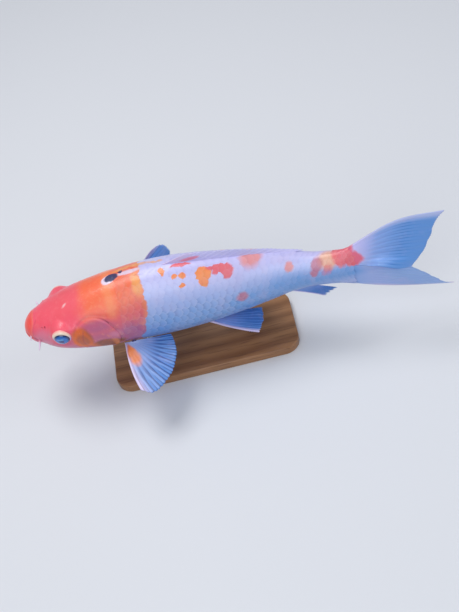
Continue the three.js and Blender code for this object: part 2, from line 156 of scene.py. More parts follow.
heading = smoothCurve(pose["shares"], np.radians(pose["heading"]))
roll = smoothCurve(pose["shares"], np.radians(pose["roll"]))
rise = smoothCurve(pose["shares"], pose["rise"])
axisShares = np.arange(0, 1.4, koi["axisStep"])
axisTurns = heading(axisShares[:-1] + koi["axisStep"] / 2)
axisX, axisY = (
    np.concatenate([[0], np.cumsum(part(axisTurns) * koi["axisStep"])]) for part in (np.cos, np.sin)
)
pivotX, pivotY = (np.interp(koi["pivotShare"], axisShares, axis) for axis in (axisX, axisY))


def bendPoints(points):  # from the straight fish into the pose
    share = points[:, 0] / koi["length"]
    turn, lean = heading(share), roll(share)
    centreX = (np.interp(share, axisShares, axisX) + np.minimum(share, 0) - pivotX) * koi["length"]
    centreY = (np.interp(share, axisShares, axisY) - pivotY) * koi["length"]
    across = points[:, 1] * np.cos(lean) + points[:, 2] * np.sin(lean)
    upward = -points[:, 1] * np.sin(lean) + points[:, 2] * np.cos(lean)
    height = upward + rise(share) * koi["length"] + koi["axisHeight"]
    return joined(centreX - across * np.sin(turn), centreY + across * np.cos(turn), height)


def flatSheet(columns, rows):  # a sheet over the unit square
    bm = bmesh.new()
    bmesh.ops.create_grid(bm, x_segments=columns, y_segments=rows, size=0.5)
    bmesh.ops.translate(bm, vec=(0.5, 0.5, 0), verts=bm.verts)
    return bm


def flatSlab(columns, rows):  # the same with a second side and a rim, one unit below
    bm = flatSheet(columns, rows)
    bmesh.ops.solidify(bm, geom=bm.faces[:], thickness=1)
    return bm


def flatPlaces(bm):
    mesh = bpy.data.meshes.new("places")
    bm.to_mesh(mesh)
    places = np.empty(len(mesh.vertices) * 3)
    mesh.vertices.foreach_get("co", places)
    bpy.data.meshes.remove(mesh)
    return places.reshape(-1, 3)


def layMap(bm, name, places):  # a UV map from a place in the unit square for each vertex
    layer = bm.loops.layers.uv.new(name)
    for face in bm.faces:
        for loop in face.loops:
            loop[layer].uv = places[loop.vert.index]


def storeValues(bm, name, values):  # a number or a vector for each vertex
    layers = bm.verts.layers
    layer = (layers.float if np.ndim(values) == 1 else layers.float_vector).new(name)
    for vert, value in zip(bm.verts, values):
        vert[layer] = value


def moveTo(bm, points):
    for vert, point in zip(bm.verts, points):
        vert.co = point


def makeMesh(name, bm):
    mesh = bpy.data.meshes.new(name)
    bm.to_mesh(mesh)
    bm.free()
    return mesh


def addObject(name, data):
    made = bpy.data.objects.new(name, data)
    bpy.context.scene.collection.objects.link(made)
    return made


def finishPiece(name, bm, finish, replaced=(), weld=0.0):
    if weld:
        bmesh.ops.remove_doubles(bm, verts=bm.verts, dist=weld)
    bmesh.ops.recalc_face_normals(bm, faces=bm.faces)
    for face in bm.faces:
        face.smooth = True
    mesh = makeMesh(name, bm)
    mesh.materials.append(finish)
    piece = addObject(name, mesh)
    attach(piece, "root")
    if replaced:
        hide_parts(*replaced)
    print(name, len(mesh.polygons), "faces")


def finishBent(name, bm, straight, finish, slot, replaced=(), weld=0.0, places=None, **values):
    if places is not None:
        layMap(bm, "OFBake", np.clip(places, 0, 1))
    for key, value in values.items():  # attributes that the finish reads
        storeValues(bm, key, value)
    moveTo(bm, bendPoints(straight))
    finishPiece(name, bm, finish, replaced, weld)


class Wire:  # a socket that can be used in sums
    def __init__(self, maker, socket):
        self.maker, self.socket = maker, socket

    def sum(self, operation, first, second):
        return self.maker.node("ShaderNodeMath", {"operation": operation}, {0: first, 1: second})

    def __add__(self, other):
        return self.sum("ADD", self, other)

    def __mul__(self, other):
        return self.sum("MULTIPLY", self, other)

    __radd__, __rmul__ = __add__, __mul__

    def __sub__(self, other):
        return self.sum("SUBTRACT", self, other)

    def __rsub__(self, other):
        return self.sum("SUBTRACT", other, self)

    def __truediv__(self, other):
        return self.sum("DIVIDE", self, other)

    def __abs__(self):
        return self.sum("ABSOLUTE", self, 0)


class Finish:  # builds one material
    def __init__(self, name):
        self.material = bpy.data.materials.new(name)
        self.material.use_nodes = True
        self.tree = self.material.node_tree
        self.tree.nodes.clear()

    def node(self, kind, settings=None, sockets=None, out=0):
        made = self.tree.nodes.new(kind)
        for key, value in (settings or {}).items():
            if key == "stops":
                ramp = made.color_ramp
                while len(ramp.elements) < len(value):
                    ramp.elements.new(0.5)
                for element, (place, colour) in zip(ramp.elements, value):
                    element.position, element.color = place, colour
            else:
                setattr(made, key, value)
        for key, value in (sockets or {}).items():
            if isinstance(value, Wire):
                self.tree.links.new(value.socket, made.inputs[key])
            else:
                made.inputs[key].default_value = value
        return Wire(self, made.outputs[out]) if len(made.outputs) else None

    def attribute(self, name, out="Vector"):
        return self.node("ShaderNodeAttribute", {"attribute_name": name}, out=out)

    def parts(self, vector):
        split = self.node("ShaderNodeSeparateXYZ", None, {0: vector})
        return [Wire(self, split.socket.node.outputs[k]) for k in range(3)]

    def vector(self, operation, first, second=(0, 0, 0), out="Vector"):
        settings = {"operation": operation}
        return self.node("ShaderNodeVectorMath", settings, {0: first, 1: second}, out)

    def join(self, *parts):
        return self.node("ShaderNodeCombineXYZ", None, dict(enumerate(parts)))

    def length(self, *parts):
        return self.vector("LENGTH", self.join(*parts), out="Value")

    def noise(self, place, scale, detail=2.0, out="Fac"):
        sockets = {"Vector": place, "Scale": scale, "Detail": detail}
        return self.node("ShaderNodeTexNoise", None, sockets, out=out)

    def fade(self, value, low, high):  # 0 below low, 1 above high
        sockets = {"Value": value, "From Min": low, "From Max": high}
        return self.node("ShaderNodeMapRange", {"interpolation_type": "SMOOTHSTEP"}, sockets)

    def larger(self, first, second):
        return self.node("ShaderNodeMath", {"operation": "MAXIMUM"}, {0: first, 1: second})

    def mix(self, factor, first, second, blend="MIX"):
        settings = {"data_type": "RGBA", "blend_type": blend, "clamp_factor": True}
        return self.node("ShaderNodeMix", settings, {0: factor, 6: first, 7: second}, out=2)

    def ramp(self, value, stops):  # each stop is a place and a screen colour
        stops = [(place, tint(*shade)) for place, *shade in stops]
        return self.node("ShaderNodeValToRGB", {"stops": stops}, {"Fac": value})

    def stretched(self, place, scale, detail):  # noise drawn out along some axes
        mapped = self.node("ShaderNodeMapping", None, {"Vector": place, "Scale": scale})
        return self.noise(mapped, 1.0, detail)

    def waves(self, place, settings, sockets):
        return self.node("ShaderNodeTexWave", settings, {"Vector": place, **sockets}, "Fac")

    def shake(self, place, scale, detail, reach, moved=None):  # a place, or a moved one, with noise
        noise = self.vector("SUBTRACT", self.noise(place, scale, detail, "Color"), (0.5,) * 3)
        return self.vector("ADD", moved or place, self.vector("MULTIPLY", noise, (reach,) * 3))

    def bump(self, height, strength, distance, below=None):
        sockets = {"Strength": strength, "Distance": distance, "Height": height}
        if below:
            sockets["Normal"] = below
        return self.node("ShaderNodeBump", None, sockets)

    def done(self, colour, roughness, coat=(), flesh=(), **more):  # coat: weight, roughness
        sockets = {"Base Color": colour, "Roughness": roughness}
        sockets.update(zip(("Coat Weight", "Coat Roughness"), coat))
        sockets.update(zip(("Subsurface Weight", "Subsurface Radius"), flesh))
        if flesh:
            sockets["Subsurface Scale"] = 1.0
        sockets.update(more)
        shader = self.node("ShaderNodeBsdfPrincipled", None, sockets)
        self.node("ShaderNodeOutputMaterial", None, {"Surface": shader})
        return self.material


def tint(red, green, blue):  # a screen colour as the shader's own
    parts = (part / 255 for part in (red, green, blue))
    return (*(((part + 0.055) / 1.055) ** 2.4 if part > 0.04 else part / 12.92 for part in parts), 1)


colours = {
    "pale": tint(236, 226, 250),
    "amber": tint(240, 112, 4),
    "ink": tint(16, 32, 90),
}
levels = {  # level from the belly (0) through the axis (0.5) to the back (1), and its colour; the darker, bluer lower flank is painted shade and painted blue water light over the skin's own tints
    "white": [
        (0.0, 150, 178, 232),
        (0.3, 108, 158, 222),
        (0.55, 126, 170, 232),
        (0.72, 170, 192, 246),
        (0.88, 202, 208, 255),
        (1.0, 204, 200, 248),
    ],
    "patch": [
        (0.0, 206, 160, 190),
        (0.33, 176, 98, 142),
        (0.55, 206, 102, 134),
        (0.72, 242, 106, 112),
        (0.88, 255, 116, 76),
        (1.0, 255, 112, 70),
    ],
    "head": [
        (0.0, 214, 160, 190),
        (0.33, 206, 116, 146),
        (0.58, 238, 94, 120),
        (0.8, 255, 90, 112),
        (1.0, 248, 96, 106),
    ],
}
redPatch = {  # shares of the length
    "edgeBack": 0.386,
    "edgeFlank": 0.34,
    "wobble": 0.026,
    "fringe": 0.016,
    "sway": 0.1,
}
spotDepth = 0.03  # metres that a spot reaches under the skin
spots = {  # share, degrees from the back (left side negative), half length and half width in mm, lean
    "red": [
        (0.507, -8, 14, 3.6, 0),
        (0.636, -29, 9, 8, 0.5),
        (0.62, -23, 11, 5, 0.35),
        (0.604, -19, 10, 3, 0.2),
        (0.97, -30, 14, 16, 0),
        (1.0, -64, 13, 9, 0),
        (0.468, 66, 22, 14, 0.4),
        (0.492, 56, 12, 12, -0.5),
        (0.62, 48, 13, 8, -0.3),
        (0.636, 58, 9, 7, 0.6),
        (0.93, 60, 14, 11, 0),
    ],
    "orange": [
        (0.566, -30, 10, 8, 0),
        (0.562, -39, 6, 8, 0.1),
        (0.571, -23, 7, 6, 0),
        (0.578, -30, 6, 7, 0),
        (0.448, -14, 3.4, 6, 0.4),
        (0.482, -28, 3.6, 4, 0),
        (0.503, -28, 5, 4.4, 0),
        (0.494, -43, 4.8, 2.6, 0),
        (0.54, 80, 7, 6, 0),
        (0.77, 70, 10, 7, 0.3),
    ],
    "salmon": [(0.711, -4, 15, 16, 0), (0.817, -46, 5.5, 6, 0)],
    "pale": [(0.352, 1, 16, 2.6, 0)],
    "gold": [
        (0.338, 15, 14, 4, 0),
        (0.39, 15, 14, 4, 0),
        (0.44, 10, 8, 2.4, 0),
        (0.368, -24, 6, 16, 0),
        (0.93, -45, 12, 11, 0),
    ],
    "gill": [(0.173, -90, 13, 19.5, 0), (0.236, -112, 23, 11.5, 0)],
    "plum": [(0.318, -92, 13, 12, 0), (0.225, -68, 20, 8, 0)],
    "lilac": [(0.272, -88, 7, 4.5, 0), (0.06, -78, 15, 10, 0.5)],
    # a painted highlight: a small pale glint on the top of the head
    "foreheadGlint": [(0.143, -15, 3.4, 1.7, 0.6)],
    "brown": [(0.663, -82, 8, 6, 0), (0.897, -58, 7, 10, -0.3), (0.889, -78, 6, 5, -0.3)],
    "ink": [(0.299, 0, 9.3, 6.6, 0.25), (0.333, 6, 3.4, 2.4, 0), (0.41, 52, 5, 4, 0)],
    "halo": [(0.289, -2, 9.8, 7.4, 0.25)],
}


def spotGap(f, place, row):  # 0 in the middle of a spot, 1 at its edge
    share, degrees, along, across, lean = row
    centre = bodyPoints(share, math.radians(degrees))
    out = bodyNormals(share, math.radians(degrees))
    away = f.vector("SUBTRACT", place, tuple(centre))
    forward = unit(np.cross(out, np.cross([1, 0, 0], out)))
    sideways = np.cross(out, forward)
    first = forward * math.cos(lean) + sideways * math.sin(lean)
    second = sideways * math.cos(lean) - forward * math.sin(lean)
    axes = ((first, along / 1000), (second, across / 1000), (out, spotDepth))
    return f.length(*(f.vector("DOT_PRODUCT", away, tuple(axis / size), "Value") for axis, size in axes))


def spotMask(f, place, rows, soft):
    mask = 0.0
    for row in rows:
        mask = f.larger(mask, 1 - f.fade(spotGap(f, place, row), 1 - soft, 1 + soft))
    return mask


def bodyLevel(share, z):  # 0 at the belly, 1 at the back
    return z / (0.118 - abs(share - 0.4) * 0.15) + 0.5


def markings(f, place):
    shifted = f.shake(place, 26, 2, 0.008)
    ragged = f.shake(place, 140, 3, 0.006, shifted)
    x, y, z = f.parts(place)
    share = x / koi["length"]
    raggedX = f.parts(ragged)[0] / koi["length"]
    cloud = f.noise(place, 34, 3)
    speck = f.noise(place, 160, 3)
    level = bodyLevel(share, z) + (cloud - 0.5) * 0.12

    # painted shade: these ramps make the lower flank darker and bluer than the back
    white = f.ramp(level, levels["white"])
    white = f.mix(f.fade(cloud, 0.5, 0.75) * 0.3, white, tint(196, 184, 230))
    patch = f.ramp(level, levels["patch"])
    patch = f.mix(f.fade(speck, 0.5, 0.72) * 0.3, patch, tint(255, 158, 112))
    patch = f.mix(f.fade(cloud, 0.52, 0.7) * 0.25 * f.fade(level, 0.6, 0.8), patch, tint(248, 92, 68))
    streak = 1 - f.fade(abs(share - 0.281) * 60 + speck * 1.5, 0.9, 2.2)
    patch = f.mix(streak * f.fade(level, 0.66, 0.86) * 0.4, patch, tint(255, 168, 104))
    head = f.ramp(level, levels["head"])
    snout = share - f.fade(z, 0.008, 0.018) * 0.01
    lips = f.mix(f.fade(z, -0.009, 0.001), tint(214, 104, 128), tint(255, 84, 62))
    head = f.mix((1 - f.fade(snout, 0.018, 0.03)) * 0.85, head, lips)
    head = f.mix((1 - f.fade(abs(snout - 0.026), 0.0, 0.005)) * 0.25, head, tint(255, 158, 104))
    head = f.mix(f.fade(speck, 0.48, 0.75) * 0.22, head, tint(255, 134, 136))
    head = f.mix(f.fade(cloud, 0.5, 0.7) * 0.25, head, tint(240, 84, 92))
    red = f.mix(f.fade(share + cloud * 0.08, 0.2, 0.26), head, patch)

    edge = f.fade(z, -0.03, 0.035) * (redPatch["edgeBack"] - redPatch["edgeFlank"])
    edge = edge + redPatch["edgeFlank"]
    flank = f.noise(f.vector("MULTIPLY", place, (1, 0, 1)), 24, 2)
    edge = edge + (flank - 0.5) * redPatch["sway"] * (1 - f.fade(z, -0.012, 0.02))
    before = edge + (cloud - 0.5) * redPatch["wobble"] - raggedX
    fringe = (1 - f.fade(before, 0.0, redPatch["fringe"])) * f.fade(level, 0.4, 0.7)
    red = f.mix(fringe * 0.6, red, tint(240, 150, 96))
    belly = f.fade(z, -0.03, -0.044)
    colour = f.mix(f.fade(before, -0.003, 0.003) * (1 - belly * 0.7), white, red)

    # the lower gill cover's own amber and brown; its darker brown towards the rear is partly painted
    # shade under the cover
    umber = f.mix(f.fade(share + cloud * 0.04, 0.195, 0.23), tint(196, 96, 42), tint(140, 70, 26))
    umber = f.mix(f.fade(speck, 0.42, 0.62) * 0.35, umber, tint(190, 88, 34))
    arc = spotGap(f, shifted, spots["gill"][0])
    arc = f.fade(arc + (cloud - 0.5) * 0.5, 0.42, 0.74) * (1 - f.fade(share + z * 0.5, 0.178, 0.214))
    umber = f.mix(arc * 0.9, umber, colours["amber"])
    band = f.fade(share, 0.25, 0.262) * (1 - f.fade(share, 0.268, 0.276))
    umber = f.mix(band * 0.7, umber, tint(232, 134, 60))
    blots = (  # marking, softness, strength, colour
        ("gold", 0.35, 0.75, f.mix(speck, tint(255, 160, 70), tint(255, 186, 110))),
        ("lilac", 0.6, 0.5, tint(228, 142, 172)),
        ("plum", 0.5, 0.55, tint(164, 94, 148)),
        ("gill", 0.2, 0.92, umber),
        ("salmon", 0.3, 0.75, tint(244, 132, 104)),
        # painted highlight: the pale glint on the top of the head
        ("foreheadGlint", 0.7, 0.75, tint(255, 206, 206)),
        ("pale", 0.35, 0.8, colours["pale"]),
        ("halo", 0.18, 0.9, colours["pale"]),
        ("orange", 0.14, 1.0, f.mix(speck, tint(255, 122, 66), tint(255, 164, 92))),
        ("red", 0.16, 0.95, f.mix(speck, tint(236, 78, 100), tint(244, 116, 116))),
        ("brown", 0.3, 0.75, tint(206, 98, 112)),
        ("ink", 0.12, 0.96, colours["ink"]),
    )
    for name, soft, strength, shade in blots:
        rough = ragged if soft < 0.2 and name != "gill" else shifted
        colour = f.mix(spotMask(f, rough, spots[name], soft) * strength, colour, shade)
    return colour


def skinFinish():
    f = Finish("koi_skin")
    place = f.attribute("unbent")
    fold = f.attribute("fold", "Fac")
    colour = markings(f, place)
    # painted shade: creases, the gill slit and the nostril pits darkened by how deep in a fold each lies
    colour = f.mix(f.fade(fold, 0.0, 1.0) * 0.6, colour, tint(150, 52, 84))
    pores = f.noise(place, 420, 3)
    colour = f.mix(f.fade(pores, 0.62, 0.74) * 0.12, colour, tint(255, 190, 190))
    relief = f.bump(f.noise(place, 90, 3), 0.35, 0.0012, f.bump(pores, 0.25, 0.0004))
    flesh = (0.12, (0.004, 0.0018, 0.0014))
    return f.done(colour, 0.36 + pores * 0.12, (0.35, 0.14), flesh, Normal=relief)


def scaleFinish():
    f = Finish("koi_scales")
    place = f.attribute("unbent")
    along, across, chance = f.parts(f.attribute("leaf"))
    colour = markings(f, place)
    rim = f.fade(along * along + across * across * 0.8, 0.62, 1.02)
    bed = 1 - f.fade(along, 0.42, 0.72)
    x, y, z = f.parts(place)
    flank = (1 - f.fade(abs(z + 0.004), 0.018, 0.034)) * f.fade(x, 0.145, 0.17)
    flank = flank * (1 - f.fade(x, 0.26, 0.33))
    colour = f.mix(rim * (0.05 + flank * 0.08), colour, tint(226, 230, 250))
    # partly the skin's own darker net between the scales, partly painted shade under the free edge of
    # the scale before: each scale darker towards its root
    colour = f.mix(bed * (0.12 + flank * 0.26), colour, tint(170, 176, 206), "MULTIPLY")
    colour = f.mix(f.fade(chance, 0.0, 1.0) * 0.06, colour, tint(255, 224, 230))
    level = f.vector("MULTIPLY", f.attribute("leaf"), (1, 1, 0))
    kind = {"wave_type": "RINGS", "rings_direction": "SPHERICAL"}
    rings = f.waves(level, kind, {"Scale": 3.2, "Distortion": 0.6})
    relief = f.bump(f.noise(place, 500, 2), 0.12, 0.0003, f.bump(rings, 0.12, 0.0002))
    flesh = (0.08, (0.003, 0.0015, 0.0012))
    return f.done(colour, 0.34 + rim * 0.1 + chance * 0.06, (0.3, 0.2), flesh, Normal=relief)


skin = {
    "columns": 150,
    "rows": 144,
    "spread": smoothCurve(  # share at each part of the columns, which are close at the head
        [0, 0.02, 0.1, 0.3, 0.5, 0.985, 1], [0, 0.0006, 0.018, 0.13, 0.29, 1, 1.0001]
    ),
    "coatStart": 0.272,  # share behind which the skin dips under the scales
    "coatSpan": 0.034,
    "coatDepth": 0.0009,
    "carved": 0.33,  # share of the length that the head's shapes reach to
    "fine": 0.295,  # share with faces of half the size
    "close": 0.985,  # part of the skin's columns behind which its end closes
}
eye = {  # metres, and shares of the length
    "share": 0.117,
    "rise": 0.019,
    "radius": 0.01,
    "bulge": 0.0064,
    "look": (-0.14, -1, -0.06),
    "socket": 0.0088,
    "socketDepth": 0.0045,
    "brimDepth": 0.0004,
    "blend": (0.0122, 0.0185),  # distances over which the flat round the eye meets the cheek
    "rimRadius": 0.0104,
    "rimLonger": 0.0004,  # how much further out the rim lies above the eye than beside it
    "rimWidth": 0.0017,
    "rimUpper": 0.75,  # how much wider the upper lid is
    "rimHeight": 0.0012,
    "rimUpperHeight": 0.4,
    "rimLift": (0.0004, 0.0006),  # over the brim, and how much more above the eye
    "rimDrop": 0.0024,  # fall of the lid's outer edge towards the skin
    "rimDropUpper": 0.6,
}
gillCover = {  # in mm, but the outline in shares as seen from the side
    "outline": [
        (0.163, -0.03),
        (0.166, 0.035),
        (0.205, 0.062),
        (0.25, 0.05),
        (0.281, 0.0),
        (0.272, -0.05),
        (0.232, -0.086),
        (0.178, -0.086),
    ],
    "swell": 0.9,
    "rim": (0.5, 2.2, 1.6),  # height, distance within the edge and width of the swell along it
    "slit": (2.2, 1.1, 1.0),  # depth, distance outside the edge and width
    "seam": (0.3, 0.6, 1.2),  # the same in front, where the cover is grown to the cheek
}
creases = [  # route in shares as seen from the side, depth and width in mm
    ([(-0.002, -0.0125), (0.02, -0.013), (0.035, -0.0155), (0.043, -0.02)], 2.0, 0.8),
    ([(-0.002, 0.0015), (0.02, 0.001), (0.036, -0.005), (0.047, -0.018)], 0.7, 0.9),
    ([(-0.002, -0.0245), (0.02, -0.0255), (0.036, -0.0265), (0.046, -0.022)], 0.6, 0.9),
    ([(0.045, 0.004), (0.057, -0.01), (0.06, -0.03)], 0.45, 1.1),
    ([(0.046, -0.024), (0.075, -0.045), (0.12, -0.066)], 0.6, 1.2),
    ([(0.182, 0.03), (0.174, 0.0), (0.18, -0.035), (0.2, -0.062)], 0.5, 1.3),
    ([(0.2, -0.052), (0.235, -0.048), (0.268, -0.032)], 0.3, 1.0),
    ([(0.078, -0.012), (0.096, -0.029), (0.125, -0.034), (0.152, -0.02)], 0.35, 1.4),
    ([(0.15, 0.02), (0.17, 0.05), (0.21, 0.07), (0.26, 0.062)], 0.35, 1.6),
    ([(0.046, 0.044), (0.036, 0.033), (0.031, 0.021), (0.0295, 0.009), (0.033, -0.003)], 0.35, 0.9),
]
swells = [  # the same, with heights
    ([(-0.002, -0.0058), (0.02, -0.006), (0.034, -0.0105), (0.042, -0.0165)], 0.9, 2.2),
    ([(-0.002, -0.0185), (0.02, -0.0193), (0.034, -0.0215)], 0.8, 2.0),
    ([(0.124, 0.03), (0.143, 0.038), (0.16, 0.04)], 1.3, 5.0),
]
nostril = {  # in mm, but places as shares
    "degrees": -46,
    "pits": [(0.064, 1.1), (0.0725, 1.5)],  # share and radius
    "depth": 1.5,
    "rim": (0.3, 0.6),  # height and width
    "flap": (0.0682, 0.6, 0.7, 1.6),  # share, height, thickness and width
}
mm = 1e-3


def roundRoute(points, closed=False):  # a smooth line through points, in metres seen from the side
    points = np.array(points) * koi["length"]
    last = len(points)
    if closed:
        ring = np.concatenate([points[-1:], points, points[:2]])
    else:
        ring = np.concatenate([2 * points[:1] - points[1:2], points, 2 * points[-1:] - points[-2:-1]])
        last -= 1
    route = []
    for i in range(last):
        a, b, c, d = ring[i : i + 4]
        t = np.linspace(0, 1, 6, endpoint=False)[:, None]
        bend, twist = 2 * a - 5 * b + 4 * c - d, 3 * b - a - 3 * c + d
        route.append(0.5 * (2 * b + (c - a) * t + bend * t**2 + twist * t**3))
    return np.concatenate([*route, points[:1] if closed else points[-1:]])


def routeDistance(points, route):
    flat = points[:, [0, 2]]
    nearest = np.full(len(flat), 1.0)
    for start, end in zip(route[:-1], route[1:]):
        line = end - start
        t = np.clip(((flat - start) @ line) / (line @ line), 0, 1)
        nearest = np.minimum(nearest, np.linalg.norm(flat - start - t[:, None] * line, axis=1))
    return nearest


def insideRoute(points, route):
    x, z = points[:, 0], points[:, 2]
    inside = np.zeros(len(points), bool)
    for (x0, z0), (x1, z1) in zip(route[:-1], route[1:]):
        if z0 != z1:
            crosses = (z0 > z) != (z1 > z)
            inside ^= crosses & (x < (x1 - x0) * (z - z0) / (z1 - z0) + x0)
    return inside


def leftSide(points):
    return points * [1, 0, 1] - np.abs(points) * [0, 1, 0]


eyeAngle = float(sideAngle(*(np.array(eye[key] * koi["length"]) for key in ("share", "rise"))))
eyeLook = unit(eye["look"])
eyeCentre = bodyPoints(eye["share"], eyeAngle)
eyeUp = unit(np.array([0, 0, 1]) - eyeLook * eyeLook[2])
eyeFront = np.cross(eyeUp, eyeLook)
coverRoute = roundRoute(gillCover["outline"], closed=True)


def eyeReach(points):  # distance from the line of sight, and height along it
    away = leftSide(points) - eyeCentre
    height = away @ eyeLook
    return np.linalg.norm(away - height[:, None] * eyeLook, axis=1), height


def coverReach(points):  # distance outside the gill cover's edge, negative within
    away = routeDistance(points, coverRoute)
    return np.where(insideRoute(points, coverRoute), -away, away)


def nostrilAway(points, share):
    return leftSide(points) - bodyPoints(share, math.radians(nostril["degrees"]))


def carveHead(share, angle, points, normals):  # the shaped points, and how deep in a fold each lies, which the skin's finish darkens as painted shade
    lift, fold = np.zeros((2, len(points)))
    head = share < skin["carved"]
    near = points[head]
    height, deep = np.zeros((2, len(near)))
    for route, depth, width in creases:
        line = hump(routeDistance(near, roundRoute(route)), width * mm)
        height -= depth * mm * line
        deep = np.maximum(deep, line * min(1, depth))
    for route, swell, width in swells:
        height += swell * mm * hump(routeDistance(near, roundRoute(route)), width * mm)
    cover = coverReach(near)
    rear = smoothStep(near[:, 0] / koi["length"] - near[:, 2] * 0.9, 0.2, 0.262)
    height += gillCover["swell"] * mm * smoothStep(-cover, -0.2 * mm, 1.0 * mm) * (0.25 + 0.75 * rear)
    rise, within, width = gillCover["rim"]
    height += rise * mm * hump(cover + within * mm, width * mm) * rear
    depth, outside, width = gillCover["slit"]
    slit = hump(cover - outside * mm, width * mm) * rear
    seam, outside, width = gillCover["seam"]
    height -= depth * mm * slit + seam * mm * hump(cover - outside * mm, width * mm) * (1 - rear)
    deep = np.maximum(deep, slit)
    for place, radius in nostril["pits"]:
        away = np.linalg.norm(nostrilAway(near, place), axis=1)
        pit = 1 - smoothStep(away, radius * 0.55 * mm, radius * 1.15 * mm)
        rise, width = nostril["rim"]
        height += rise * mm * hump(away - radius * 1.35 * mm, width * mm)
        height -= nostril["depth"] * mm * pit
        deep = np.maximum(deep, pit)
    place, rise, thickness, width = nostril["flap"]
    away = nostrilAway(near, place)
    height += rise * mm * hump(away[:, 0], thickness * mm) * hump(away[:, 2], width * mm)
    lift[head] = height
    fold[head] = deep
    coated = share - 0.012 * np.cos(angle) - skin["coatStart"]
    lift -= skin["coatDepth"] * smoothStep(coated, 0, skin["coatSpan"])
    shaped = points + normals * lift[:, None]
    reach, rising = eyeReach(shaped)
    bed = np.where(reach < eye["socket"], -eye["socketDepth"], -eye["brimDepth"])
    weight = (1 - smoothStep(reach, *eye["blend"])) * (rising > -0.02)
    look = np.where(points[:, 1:2] > 0, eyeLook * [1, -1, 1], eyeLook)
    shaped += look * ((bed - rising) * weight)[:, None]
    return shaped, fold


def makeSkin(finish):
    bm = flatSheet(skin["columns"], skin["rows"])

    def bodyPlaces(places):
        share = skin["spread"](places[:, 0])
        return np.minimum(share, 1), (places[:, 1] * 2 - 1) * math.pi

    def refine(chosen):
        bm.faces.ensure_lookup_table()
        centres = np.array([face.calc_center_median() for face in bm.faces])
        share, angle = bodyPlaces(centres)
        wanted = chosen(share, bodyPoints(share, angle))
        faces = [face for face, want in zip(bm.faces, wanted) if want]
        edges = list(dict.fromkeys(edge for face in faces for edge in face.edges))
        bmesh.ops.subdivide_edges(bm, edges=edges, cuts=1, use_grid_fill=True)

    def fineParts(share, points):  # round the eye, along the slit and the mouth, and in the nostrils
        reach = eyeReach(points)[0]
        wanted = (reach > 0.0078) & (reach < 0.0125)
        wanted |= (np.abs(coverReach(points)) < 0.0022) & (share > 0.19)
        for place, radius in nostril["pits"]:
            wanted |= np.linalg.norm(nostrilAway(points, place), axis=1) < radius * 0.0024
        for route, depth, width in creases[:3]:
            wanted |= routeDistance(points, roundRoute(route)) < width * 0.0017
        return wanted & (share < 0.3)

    refine(lambda share, points: share < skin["fine"])
    refine(fineParts)
    places = flatPlaces(bm)
    share, angle = bodyPlaces(places)
    straight, fold = carveHead(share, angle, bodyPoints(share, angle), bodyNormals(share, angle))
    straight[:, 1:] *= (1 - smoothStep(places[:, :1], skin["close"], 1)) ** 0.5
    flesh = ["head", "lower_jaw", "gill_cover_left", "gill_cover_right"]
    flesh += ["trunk_front", "trunk_rear", "tail_stem"]
    flat, values = places[:, :2], {"unbent": straight, "fold": fold}
    finishBent("skin", bm, straight, finish, "pale_skin", flesh, 1e-6, flat, **values)


scales = {
    "first": 0.262,  # share of the first scales' roots
    "last": 0.985,
    "pitch": 0.0094,  # along a row, where the body is deepest
    "rowGap": 0.0108,  # between rows there
    "growth": smoothCurve([0.26, 0.36, 0.6, 0.85, 1.0], [0.8, 1.0, 1.0, 0.72, 0.55]),
    "length": 1.95,  # of one scale, in pitches
    "width": 1.6,  # of one scale, in row gaps
    "uneven": 0.03,  # by how much both differ from scale to scale
    "strayAlong": 0.001,  # share by which roots stray
    "strayAcross": 0.0003,  # the same in metres
    "columns": 6,
    "rows": 5,
    "thickness": 0.00018,
    "bed": 0.0001,  # height of the roots over the skin
    "tilt": 0.00058,  # rise of a scale from its root to its free edge
    "full": 0.4,  # share where that rise is full, behind the flatter scales of the nape
    "droop": 0.00006,  # fall of a scale's sides
    "pore": 0.00022,  # height of the ridge on each scale of the lateral line
    "ridgeFirst": 0.268,  # the rows over the back and under the belly
    "ridgeGap": (0.42, 0.79),  # shares where the dorsal fin takes the place of the upper one
    "ridgeLift": 0.00018,
    "tailTaper": 13,  # how fast the last scales close in on the tail's root
    "seed": 7,
}
skinColumns = np.linspace(0, 1, 400)
skinShares = skin["spread"](skinColumns)


def arcTable():  # angle at each share and distance round the body from the middle of the right side
    shares = np.linspace(0.2, 1.06, 173)
    angles = np.radians(np.linspace(-120, 300, 421))
    distances = np.linspace(-0.14, 0.14, 281)
    table = []
    for share in shares:
        ring = bodyPoints(np.full_like(angles, min(share, 1.0)), angles)
        steps = np.linalg.norm(np.diff(ring, axis=0), axis=1)
        arc = np.concatenate([[0], np.cumsum(steps)])
        arc -= np.interp(math.pi / 2, angles, arc)
        table.append(np.interp(distances, arc, angles))
    return shares, distances, np.array(table)


arcShares, arcDistances, arcAngles = arcTable()


def tableCell(value, knots):
    return np.clip((value - knots[0]) / (knots[1] - knots[0]), 0, len(knots) - 1.001)


def angleAt(share, distance):
    i, j = tableCell(share, arcShares), tableCell(distance, arcDistances)
    i0, j0 = i.astype(int), j.astype(int)
    u, v = i - i0, j - j0
    low = arcAngles[i0, j0] * (1 - v) + arcAngles[i0, j0 + 1] * v
    high = arcAngles[i0 + 1, j0] * (1 - v) + arcAngles[i0 + 1, j0 + 1] * v
    return low * (1 - u) + high * u


def halfArc(share, angle):  # distance round the body to an angle
    row = int(round(float(tableCell(share, arcShares))))
    return float(np.interp(angle, arcAngles[row], arcDistances))


def scaleRoots():  # share, distance under the lateral line, row, and no ridge
    roots = []
    share, column = scales["first"], 0
    while share < scales["last"]:
        growth = float(scales["growth"](share))
        top, low = -halfArc(share, 0.0), halfArc(share, math.pi)
        gap = scales["rowGap"] * growth
        for row in range(-8, 9):
            distance = row * gap
            fits = -distance < top - gap * 0.45 and distance < low - gap * 0.3
            if fits and (row + column) % 2 == 0:
                roots.append((share, distance, row, None))
        share += scales["pitch"] * growth / koi["length"] / 2
        column += 1
    return roots


